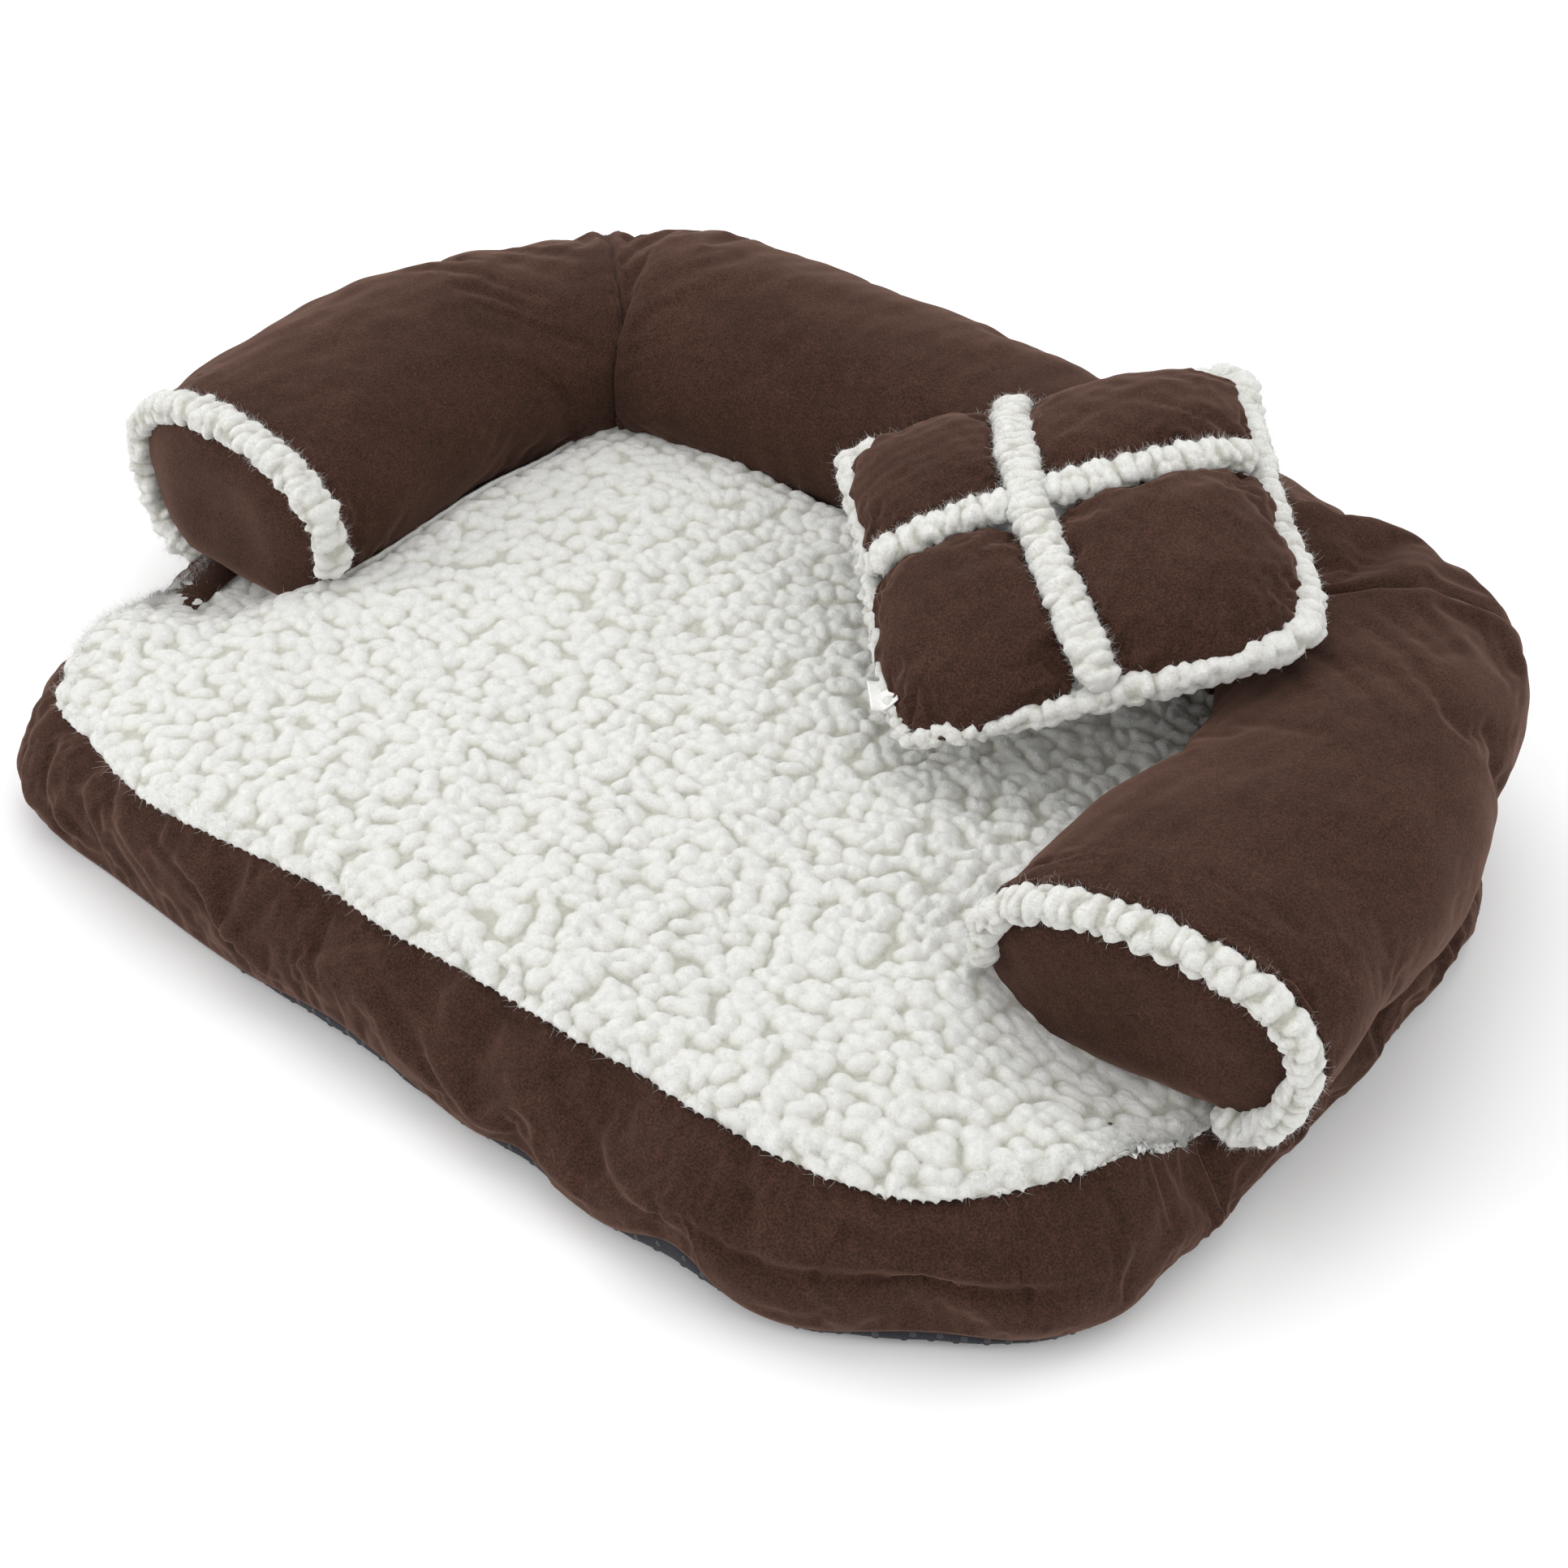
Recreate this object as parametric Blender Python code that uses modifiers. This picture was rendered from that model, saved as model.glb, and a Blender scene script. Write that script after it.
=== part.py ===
"""Pet cushion bed: a sherpa-topped mattress, a C-shaped stuffed bolster and a loose pillow.

Metres, +Z up, +Y towards the back bolster, origin on the floor at the middle of the bed.
Run with: blender --background --python part.py
"""

import math

import bmesh
import bpy
from mathutils import Matrix, Vector

# ---- driving dimensions -----------------------------------------------------------------
PART_NAME = "pet_cushion_bed"
GAP = 0.0004                 # clearance kept between touching pieces
FABRIC = 0.0018              # suede cover thickness
PILE = 0.0055                # sherpa sheet thickness, backing and pile

BASE_HALF = 0.259            # half width of the mattress
BASE_FRONT = -0.192          # front edge before its bow
BASE_BACK = 0.186            # back edge, under the back bolster
BASE_BOW = 0.007             # the front edge swells forward by this much
FRONT_RADIUS = 0.115         # plan radius of the front corners
BACK_RADIUS = 0.085          # plan radius of the back corners
BOXING_SPLIT = -0.083        # where the front and the rear boxing meet, along Y

PANEL_Z = 0.0008             # underside of the bottom panel, above its grip dots
PANEL_TOP = 0.0026
DOT_RADIUS = 0.0028          # moulded grip dots on the bottom panel
DOT_PITCH = 0.110
DOT_COLUMNS = 5
DOT_ROWS = 3
PANEL_INSET = 0.0045         # the panel's edge inside the boxing's foot
FILL_INSET = 0.006           # the stuffing inside the boxing
RAISED_INSET = 0.020         # the raised stuffing inside the boxing, under the sherpa
RAISED_LOW = 0.016
RAISED_CLEARANCE = 0.003     # between the raised stuffing and the bolster
SHEET_INSET = 0.010          # the sherpa's edge inside the boxing
FRONT_SEAM_Z = 0.0530        # top of the front boxing, where the sherpa is sewn on
REAR_SEAM_Z = 0.0300         # top of the rear boxing, pressed down by the bolster
# The boxings from the floor up, each level (inset, height).
FRONT_LEVELS = ((0.002, 0.001), (0.0, 0.012), (0.001, 0.032), (0.006, 0.045),
                (0.012, FRONT_SEAM_Z))
REAR_LEVELS = ((0.002, 0.001), (0.0, 0.012), (0.002, REAR_SEAM_Z))
WELL_HALF = 0.1540           # half width of the sleeping well between the arms
WELL_BACK = 0.0900           # back of the sleeping well
WELL_CORNER = 0.0120         # its back corners are cut off by this much
APRON_BACK = -0.0860         # back edge of the sherpa in front of the arms
MATTRESS_TOP = 0.0536        # top of the stuffing under the sherpa

BOLSTER_Z = 0.0705           # height of the bolster's centre line
BOLSTER_HALF_HEIGHT = 0.0370
BOLSTER_FOOT = 0.0335        # the bolster's flattened underside
SECTION_POWER = 0.88         # below 1 squares the oval section a little
SECTION_SIDES = 20
STUFFING_GAP = 0.0035        # the stuffing is this much smaller than the cover all round
SLEEVE_STEPS = 3             # loft steps between two stations

TRIM_RADIUS = 0.0062         # half width of the fluffy trim round an arm's end
TRIM_ANGLES = (192.0, -78.0) # it runs over the top from the inside to under the outside
TRIM_STEPS = 22
CAP_MARGIN = 0.0012          # gap between the trim and the cap inside it
CAP_STANDOFF = 0.0014        # gap between the sleeve's end and the cap
# The cap's rings from back to front, each (scale, distance ahead).
CAP_RINGS = ((0.7, 0.0), (1.0, 0.0010), (0.85, 0.0030), (0.45, 0.0050))
MITRE_INSET = 0.010          # the stuffing ends this far inside its sleeve

PILLOW_SIZE = 0.150
PILLOW_RISE = 0.025          # the pillow's crown above its seam
PILLOW_FALL = 0.012          # its belly below its seam, flattened by what it lies on
PILLOW_SAG = 0.011           # its front corner droops by this much onto the mattress
PILLOW_EDGE = 0.0032         # half thickness at its seam
PILLOW_PINCH = 0.085         # how far its sides pull in between the corners
PILLOW_CENTRE = (0.0855, 0.0770, 0.1095)
PILLOW_LEAN = 13.0           # degrees, up towards the back bolster
PILLOW_ROLL = 5.0            # degrees, up towards the right arm
PILLOW_TURN = 43.0           # degrees, in plan
STRAP_HALF = 0.0075          # half width of a sherpa strap
STRAP_THICKNESS = 0.0030
BACK_THICKNESS = 0.0032
PILLOW_REACH = 0.93          # the patches and straps end here; 1 is the pillow's edge
PATCH_MARGIN = 0.012         # gap between a strap and a patch, as a share of half the pillow
PILLOW_FILL_INSET = 0.003
PILLOW_FILL_DROP = 0.0012
TAG_SIZE = (0.010, 0.014, 0.0006)
TAG_CENTRE = (-0.07775, -0.054, 0.0)

# The right half of the bolster, front to back and in to the middle. Each station is the
# centre (x, y), the half width, and the direction across the sleeve, outwards.
ARM_STATIONS = (
    (0.2160, -0.0660, 0.0560, (1.0, 0.12)),
    (0.2155, -0.0195, 0.0592, (1.0, 0.04)),
    (0.2178, 0.0340, 0.0564, (1.0, 0.02)),
    (0.2074, 0.0823, 0.0522, (1.0, 0.18)),
    (0.1831, 0.1302, 0.0545, (0.73, 0.68)),
)
BACK_STATIONS = (
    (0.1831, 0.1302, 0.0545, (0.73, 0.68)),
    (0.1449, 0.1422, 0.0519, (0.16, 1.0)),
    (0.0750, 0.1452, 0.0500, (0.03, 1.0)),
    (0.0000, 0.1490, 0.0500, (0.0, 1.0)),
)

SUEDE = (0.045, 0.021, 0.014)
SHERPA = (0.84, 0.83, 0.79)


# ---- scene and materials ----------------------------------------------------------------
def clear_scene():
    for old in list(bpy.data.objects):
        bpy.data.objects.remove(old)
    collection = bpy.data.collections.new(PART_NAME)
    bpy.context.scene.collection.children.link(collection)
    return collection


parts = clear_scene()


def finish_material(name, colour, roughness):
    material = bpy.data.materials.new(name)
    material.use_nodes = True
    shader = material.node_tree.nodes["Principled BSDF"]
    shader.inputs["Base Color"].default_value = (*colour, 1.0)
    shader.inputs["Roughness"].default_value = roughness
    shader.inputs["Metallic"].default_value = 0.0
    return material


def add_piece(name, mesh, colour, roughness=0.9, parent=None):
    piece = bpy.data.objects.new(name, mesh)
    parts.objects.link(piece)
    mesh.materials.append(finish_material(name + "_material", colour, roughness))
    if parent is not None:
        piece.parent = parent
    return piece


def thicken(piece, thickness):
    """Gives an open surface its fabric thickness, inwards."""
    shell = piece.modifiers.new("fabric", "SOLIDIFY")
    shell.thickness = thickness
    shell.offset = -1.0
    return shell


def mesh_from(name, build):
    """A new mesh filled by build(bm)."""
    bm = bmesh.new()
    build(bm)
    mesh = bpy.data.meshes.new(name)
    bm.to_mesh(mesh)
    bm.free()
    return mesh


# ---- plan outlines ----------------------------------------------------------------------
def bow(x, y, half, front):
    """Moves a point of the outline forward where the front edge swells."""
    across = max(0.0, 1.0 - (x / half) ** 2)
    along = min(1.0, max(0.0, (BASE_BACK - y) / (BASE_BACK - front)))
    return (x, y - BASE_BOW * across * along ** 4)


def arc(cx, cy, radius, start, end, steps):
    for k in range(steps + 1):
        a = math.radians(start + (end - start) * k / steps)
        yield (cx + radius * math.cos(a), cy + radius * math.sin(a))


def front_line(inset, steps=9):
    """The mattress's edge from the right split round the front to the left split."""
    half, front, radius = BASE_HALF - inset, BASE_FRONT + inset, FRONT_RADIUS - inset
    right = list(arc(half - radius, front + radius, radius, 0, -90, steps))
    edge = [((half - radius) * t, front) for t in (0.66, 0.33, 0.0, -0.33, -0.66)]
    left = [(-x, y) for x, y in reversed(right)]
    line = [(half, BOXING_SPLIT)] + right[1:] + edge + left[:-1] + [(-half, BOXING_SPLIT)]
    return [bow(x, y, half, front) for x, y in line]


def rear_line(inset, steps=8):
    """The mattress's edge from the left split round the back to the right split."""
    half, back, radius = BASE_HALF - inset, BASE_BACK - inset, BACK_RADIUS - inset
    right = list(arc(half - radius, back - radius, radius, 0, 90, steps))
    left = [(-x, y) for x, y in right]
    sides = [(-half, BOXING_SPLIT)] + left + list(reversed(right)) + [(half, BOXING_SPLIT)]
    return [bow(x, y, half, BASE_FRONT + inset) for x, y in sides]


def whole_line(inset):
    return front_line(inset) + rear_line(inset)[1:-1]


def plan_block(name, outline, low, high):
    """A closed block with that outline between two heights."""
    def build(bm):
        face = bm.faces.new([bm.verts.new((x, y, low)) for x, y in outline])
        raised = bmesh.ops.extrude_face_region(bm, geom=[face])
        top = [v for v in raised["geom"] if isinstance(v, bmesh.types.BMVert)]
        bmesh.ops.translate(bm, verts=top, vec=(0, 0, high - low))
        bmesh.ops.recalc_face_normals(bm, faces=bm.faces)
    return mesh_from(name, build)


def well_line(inset, clearance):
    """The T-shaped outline of the sleeping surface: an apron in front and the well behind."""
    apron = front_line(inset)
    half = WELL_HALF - clearance
    back = WELL_BACK - clearance
    rear = APRON_BACK - clearance
    line = [(x, min(y, rear)) for x, y in apron]
    corner = [(half - WELL_CORNER, back), (half, back - WELL_CORNER), (half, rear)]
    return line + [(-x, y) for x, y in reversed(corner)] + corner


# ---- lofted sleeves ---------------------------------------------------------------------
def smooth_stations(stations, steps):
    """Catmull-Rom steps between the stations, each (x, y, half width, nx, ny)."""
    rows = [Vector((x, y, w, n[0], n[1])) for x, y, w, n in stations]
    out = []
    for k in range(len(rows) - 1):
        before = rows[max(k - 1, 0)]
        after = rows[min(k + 2, len(rows) - 1)]
        a, b = rows[k], rows[k + 1]
        for s in range(steps):
            t = s / steps
            out.append(0.5 * ((2 * a) + (b - before) * t
                              + (2 * before - 5 * a + 4 * b - after) * t * t
                              + (3 * a - before - 3 * b + after) * t ** 3))
    return out + [rows[-1]]


def section(row, shrink, low):
    """One oval ring of the sleeve, with a flattened foot."""
    x, y, width, nx, ny = row
    length = math.hypot(nx, ny)
    ring = []
    for k in range(SECTION_SIDES):
        a = 2 * math.pi * k / SECTION_SIDES
        c, s = math.cos(a), math.sin(a)
        across = math.copysign(abs(c) ** SECTION_POWER, c) * (width - shrink)
        up = math.copysign(abs(s) ** SECTION_POWER, s) * (BOLSTER_HALF_HEIGHT - shrink)
        z = max(BOLSTER_Z + up, low)
        ring.append(Vector((x + nx / length * across, y + ny / length * across, z)))
    return ring


def loft(name, rings, closed_ends):
    """A skin through the rings, its faces pointing out."""
    def build(bm):
        rows = [[bm.verts.new(p) for p in ring] for ring in rings]
        count = len(rows[0])
        for a, b in zip(rows, rows[1:]):
            for k in range(count):
                bm.faces.new((a[k], a[(k + 1) % count], b[(k + 1) % count], b[k]))
        if closed_ends:
            bm.faces.new(list(reversed(rows[0])))
            bm.faces.new(rows[-1])
            if bm.calc_volume(signed=True) < 0:
                bmesh.ops.reverse_faces(bm, faces=bm.faces)
        else:
            middle = sum(rings[0], Vector()) / count
            first = next(iter(bm.faces))
            bm.normal_update()
            if first.normal.dot(first.calc_center_median() - middle) < 0:
                bmesh.ops.reverse_faces(bm, faces=bm.faces)
        for face in bm.faces:
            face.smooth = True
    return mesh_from(name, build)


def mirrored(stations):
    return tuple((-x, y, w, (-nx, ny)) for x, y, w, (nx, ny) in stations)


def shift_end(rows, index, inwards, distance):
    """Moves one end row along the sleeve, away from its neighbour sleeve."""
    step = (rows[inwards] - rows[index])
    run = math.hypot(step[0], step[1])
    rows[index] = rows[index] + step * (distance / run)


def sleeve_rows(stations, start_gap, end_gap):
    rows = smooth_stations(stations, SLEEVE_STEPS)
    if start_gap:
        shift_end(rows, 0, 1, start_gap)
    if end_gap:
        shift_end(rows, -1, -2, end_gap)
    return rows


def add_sleeve(cover_name, fill_name, stations, start_gap, end_gap, start_inset, end_inset):
    """A tubular cover and the stuffing inside it."""
    rows = sleeve_rows(stations, start_gap, end_gap)
    cover = add_piece(cover_name, loft(cover_name, [section(r, 0, BOLSTER_FOOT) for r in rows],
                                       False), SUEDE)
    thicken(cover, FABRIC)
    inner = sleeve_rows(stations, start_inset, end_inset)
    shrink = FABRIC + STUFFING_GAP
    rings = [section(r, shrink, BOLSTER_FOOT + shrink) for r in inner]
    add_piece(fill_name, loft(fill_name, rings, True), (0.85, 0.85, 0.85))


def add_bolster():
    back = mirrored(BACK_STATIONS)[:-1] + tuple(reversed(BACK_STATIONS))
    mitre, inside = GAP, MITRE_INSET
    add_sleeve("right_arm_cover", "right_arm_fill", ARM_STATIONS, 0, mitre, inside, inside)
    add_sleeve("left_arm_cover", "left_arm_fill", mirrored(ARM_STATIONS), 0, mitre, inside, inside)
    add_sleeve("back_bolster_cover", "back_bolster_fill", back, mitre, mitre, inside, inside)


def end_frame(side):
    """The arm's open end: its centre, and its outward and forward directions."""
    x, y, width, (nx, ny) = ARM_STATIONS[0]
    out = Vector((side * nx, ny, 0)).normalized()
    forward = Vector((side * ny, -nx, 0)).normalized()
    return Vector((side * x, y, BOLSTER_Z)), width, out, forward


def add_end(side, word):
    """The suede cap and the fluffy trim round it."""
    centre, width, out, forward = end_frame(side)
    inset = 2 * TRIM_RADIUS + CAP_MARGIN

    def cap_ring(scale, ahead):
        ring = []
        for k in range(SECTION_SIDES):
            a = 2 * math.pi * k / SECTION_SIDES
            across = out * (math.cos(a) * (width - inset) * scale)
            z = math.sin(a) * (BOLSTER_HALF_HEIGHT - inset) * scale
            ring.append(centre + across + forward * ahead + Vector((0, 0, z)))
        return ring

    rings = [cap_ring(scale, CAP_STANDOFF + ahead) for scale, ahead in CAP_RINGS]
    add_piece(word + "_end_cap", loft(word + "_end_cap", rings, True), SUEDE)

    curve = bpy.data.curves.new(word + "_end_trim", "CURVE")
    curve.dimensions = "3D"
    curve.bevel_depth = TRIM_RADIUS
    curve.bevel_resolution = 1
    curve.use_fill_caps = True
    spline = curve.splines.new("POLY")
    start, end = (math.radians(a) for a in TRIM_ANGLES)
    spline.points.add(TRIM_STEPS)
    for k in range(TRIM_STEPS + 1):
        a = start + (end - start) * k / TRIM_STEPS
        across = out * (math.cos(a) * (width - TRIM_RADIUS))
        z = math.sin(a) * (BOLSTER_HALF_HEIGHT - TRIM_RADIUS)
        point = centre + across + forward * (TRIM_RADIUS + 2 * GAP) + Vector((0, 0, z))
        spline.points[k].co = (*point, 1.0)
    trim = bpy.data.objects.new(word + "_end_trim", curve)
    parts.objects.link(trim)
    curve.materials.append(finish_material(word + "_end_trim_material", SHERPA, 0.95))


# ---- mattress ---------------------------------------------------------------------------
def boxing_mesh(name, line_of, levels, trim_ends):
    """An upright band along a line, through (inset, height) levels."""
    def build(bm):
        rows = []
        for inset, z in levels:
            line = line_of(inset)
            if trim_ends:
                line[0] = (line[0][0], line[0][1] + GAP)
                line[-1] = (line[-1][0], line[-1][1] + GAP)
            rows.append([bm.verts.new((x, y, z)) for x, y in line])
        for a, b in zip(rows, rows[1:]):
            for k in range(len(a) - 1):
                bm.faces.new((a[k], a[k + 1], b[k + 1], b[k]))
        bm.normal_update()
        first = next(iter(bm.faces))
        if first.normal.dot(first.calc_center_median()) < 0:
            bmesh.ops.reverse_faces(bm, faces=bm.faces)
    return mesh_from(name, build)


def guide_collection():
    cutters = bpy.data.collections.new("cutters")
    bpy.context.scene.collection.children.link(cutters)
    return cutters


def unite(piece, mesh, cutters):
    """Joins a guide solid to a piece."""
    guide = bpy.data.objects.new(mesh.name, mesh)
    cutters.objects.link(guide)
    guide.hide_render = True
    guide.display_type = "WIRE"
    join = piece.modifiers.new(mesh.name, "BOOLEAN")
    join.operation = "UNION"
    join.solver = "EXACT"
    join.object = guide


def grip_dots():
    """The dots moulded on the underside, with flat ends on the floor."""
    def build(bm):
        for i in range(DOT_COLUMNS):
            for j in range(DOT_ROWS):
                x = (i - (DOT_COLUMNS - 1) / 2) * DOT_PITCH
                y = (j - (DOT_ROWS - 1) / 2) * DOT_PITCH
                place = Matrix.Translation((x, y, PANEL_TOP / 4))
                bmesh.ops.create_cone(bm, cap_ends=True, segments=6, radius1=DOT_RADIUS,
                                      radius2=DOT_RADIUS, depth=PANEL_TOP / 2, matrix=place)
    return mesh_from("grip_dots", build)


def add_mattress():
    cutters = guide_collection()
    outline = plan_block("base_bottom_panel", whole_line(PANEL_INSET), PANEL_Z, PANEL_TOP)
    panel = add_piece("base_bottom_panel", outline, (0.012, 0.013, 0.020), 0.7)
    unite(panel, grip_dots(), cutters)

    front = add_piece("front_boxing", boxing_mesh("front_boxing", front_line, FRONT_LEVELS,
                                                  False), SUEDE)
    thicken(front, FABRIC)
    rear = add_piece("rear_boxing", boxing_mesh("rear_boxing", rear_line, REAR_LEVELS, True),
                     SUEDE)
    thicken(rear, FABRIC)

    low = PANEL_TOP + GAP
    fill = add_piece("mattress_fill", plan_block("mattress_fill", whole_line(FILL_INSET), low,
                                                 REAR_SEAM_Z), (0.85, 0.85, 0.85))
    raised = well_line(RAISED_INSET, RAISED_CLEARANCE)
    unite(fill, plan_block("raised_stuffing", raised, RAISED_LOW, MATTRESS_TOP), cutters)

    sheet = plan_block("sherpa_top_panel", well_line(SHEET_INSET, 0.0), MATTRESS_TOP + GAP,
                       MATTRESS_TOP + GAP + PILE)
    add_piece("sherpa_top_panel", sheet, SHERPA, 0.95)


# ---- pillow -----------------------------------------------------------------------------
def pillow_point(u, v, side, inset=0.0, lift=0.0):
    """A point of the pillow's skin: u and v from -1 to 1, side +1 above and -1 below."""
    half = PILLOW_SIZE / 2 - inset
    x = half * u * (1 - PILLOW_PINCH * (1 - v * v))
    y = half * v * (1 - PILLOW_PINCH * (1 - u * u))
    swell = max(0.0, (1 - u * u) * (1 - v * v)) ** 0.5
    crown = PILLOW_RISE if side > 0 else PILLOW_FALL
    z = PILLOW_EDGE + (crown - PILLOW_EDGE) * swell - inset * 0.6 + lift
    droop = PILLOW_SAG * max(0.0, -(u + v) / 2) ** 2
    return (x, y, side * z - droop)


def pillow_grid(bm, u_range, v_range, steps, height):
    """A grid of the pillow's skin between two u and two v limits."""
    rows = []
    for i in range(steps[0] + 1):
        u = u_range[0] + (u_range[1] - u_range[0]) * i / steps[0]
        row = []
        for j in range(steps[1] + 1):
            v = v_range[0] + (v_range[1] - v_range[0]) * j / steps[1]
            row.append(bm.verts.new(height(u, v)))
        rows.append(row)
    for a, b in zip(rows, rows[1:]):
        for j in range(len(a) - 1):
            bm.faces.new((a[j], b[j], b[j + 1], a[j + 1]))
    return rows


def skin_piece(name, u_range, v_range, steps, colour, thickness, parent, side=1):
    """A sheet on the pillow's skin between two u and two v limits, thickened outwards."""
    def build(bm):
        pillow_grid(bm, u_range, v_range, steps, lambda u, v: pillow_point(u, v, side))
        if side < 0:
            bmesh.ops.reverse_faces(bm, faces=bm.faces)
    piece = add_piece(name, mesh_from(name, build), colour, 0.95, parent)
    thicken(piece, thickness).offset = 1.0


def add_pillow():
    pivot = bpy.data.objects.new("pillow_pivot", None)
    parts.objects.link(pivot)
    turn = (Matrix.Rotation(math.radians(-PILLOW_ROLL), 4, "Y")
            @ Matrix.Rotation(math.radians(PILLOW_LEAN), 4, "X")
            @ Matrix.Rotation(math.radians(PILLOW_TURN), 4, "Z"))
    pivot.matrix_world = Matrix.Translation(PILLOW_CENTRE) @ turn

    def build_fill(bm):
        for side in (1, -1):
            pillow_grid(bm, (-1, 1), (-1, 1), (10, 10),
                        lambda u, v, s=side: pillow_point(u, v, s, PILLOW_FILL_INSET,
                                                          -PILLOW_FILL_DROP))
        edges = [e for e in bm.edges if e.is_boundary]
        bmesh.ops.bridge_loops(bm, edges=edges)
        bmesh.ops.recalc_face_normals(bm, faces=bm.faces)
    add_piece("pillow_fill", mesh_from("pillow_fill", build_fill), (0.85, 0.85, 0.85), 0.9, pivot)

    reach = PILLOW_REACH
    strap = STRAP_HALF / (PILLOW_SIZE / 2)
    edge = strap + PATCH_MARGIN
    for word_v, v_sign in (("upper", 1), ("lower", -1)):
        for word_u, u_sign in (("left", -1), ("right", 1)):
            u_range = sorted((u_sign * edge, u_sign * reach))
            v_range = sorted((v_sign * edge, v_sign * reach))
            skin_piece("pillow_patch_%s_%s" % (word_v, word_u), u_range, v_range, (5, 5),
                       SUEDE, FABRIC, pivot)
    skin_piece("pillow_strap_long", (-strap, strap), (-reach, reach), (2, 12), SHERPA,
               STRAP_THICKNESS, pivot)
    for word, u_range in (("left", (-reach, -edge)), ("right", (edge, reach))):
        skin_piece("pillow_strap_" + word, u_range, (-strap, strap), (6, 2), SHERPA,
                   STRAP_THICKNESS, pivot)
    skin_piece("pillow_sherpa_back", (-1, 1), (-1, 1), (10, 10), SHERPA, BACK_THICKNESS, pivot,
               side=-1)

    bm_tag = bmesh.new()
    bmesh.ops.create_cube(bm_tag, size=1.0)
    tag = bpy.data.meshes.new("pillow_tag")
    bmesh.ops.scale(bm_tag, verts=bm_tag.verts, vec=TAG_SIZE)
    bm_tag.to_mesh(tag)
    bm_tag.free()
    tag_piece = add_piece("pillow_tag", tag, (0.8, 0.8, 0.78), 0.6, pivot)
    tag_piece.location = TAG_CENTRE


add_mattress()
add_bolster()
add_end(1, "right")
add_end(-1, "left")
add_pillow()
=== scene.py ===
"""Pet cushion bed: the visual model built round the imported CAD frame.

Metres, +Z up, +Y towards the back bolster. Every soft piece is a structured grid of points that is
inflated as cloth or shaped by a formula, refined, and given its sherpa curls or suede creases.
"""

import math

import bpy
import numpy as np
from mathutils import Matrix, Vector, noise


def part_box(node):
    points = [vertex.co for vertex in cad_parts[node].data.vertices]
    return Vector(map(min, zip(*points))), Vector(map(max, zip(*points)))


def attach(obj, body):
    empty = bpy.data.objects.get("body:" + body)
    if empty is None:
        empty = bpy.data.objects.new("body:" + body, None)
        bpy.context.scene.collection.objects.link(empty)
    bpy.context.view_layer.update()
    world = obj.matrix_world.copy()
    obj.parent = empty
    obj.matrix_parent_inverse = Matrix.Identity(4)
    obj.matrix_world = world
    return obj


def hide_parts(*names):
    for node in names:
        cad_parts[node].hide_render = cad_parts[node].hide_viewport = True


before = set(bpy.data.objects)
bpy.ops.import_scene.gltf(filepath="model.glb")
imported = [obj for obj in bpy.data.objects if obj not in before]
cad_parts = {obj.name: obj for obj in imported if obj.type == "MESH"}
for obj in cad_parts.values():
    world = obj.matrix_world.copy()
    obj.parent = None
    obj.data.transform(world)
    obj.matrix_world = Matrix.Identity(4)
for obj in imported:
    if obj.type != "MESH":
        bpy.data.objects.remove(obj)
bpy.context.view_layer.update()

# ---- sizes, from the frame ----
front_low, front_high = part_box("front_boxing")
rear_low, rear_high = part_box("rear_boxing")
sheet_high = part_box("sherpa_top_panel")[1]
cover_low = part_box("right_arm_cover")[0]

BOW = 0.007  # the front edge swells forward by this much
BASE_HALF = front_high.x
BASE_FRONT = front_low.y + BOW
BASE_BACK = rear_high.y
FRONT_SEAM_Z = front_high.z - 0.003
REAR_SEAM_Z = rear_high.z + 0.0025
PANEL_Z = 0.0008  # underside of the bottom panel over its grip dots
SPLIT_Y = rear_low.y  # where the front and the rear boxing meet

BOLSTER_MID = 0.0705
BOLSTER_FOOT = cover_low.z
END_SQUARE = 0.38  # how much squarer the lower half of the arms' ends is

WELL_HALF = 0.16  # the fleece's half width between the arms
WELL_BACK = 0.106
APRON_CORNER = -0.09  # where its front edge turns into its two sides
APRON_BACK = -0.052  # its back edge beside the well, under the arms
RIGHT_END_Y, LEFT_END_Y = -0.0745, -0.066  # where the arms' ends stand on the fleece
MATTRESS_Z = sheet_high.z - 0.0045  # backing of the fleece in the middle of the bed

PILLOW_SIZE = 0.15
PILLOW_CROWN = 0.022
PILLOW_BELLY = 0.012
PILLOW_EDGE = 0.0032
PILLOW_BULGE = -0.085  # its front edge swells outwards by this share
PILLOW_SAG = 0.014
PILLOW_CENTRE = Vector((0.0862, 0.0765, 0.11))
PILLOW_TURNS = (("Y", -5.5), ("X", 11.0), ("Z", 42.5))
STRAP_HALF = 0.0062

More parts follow.
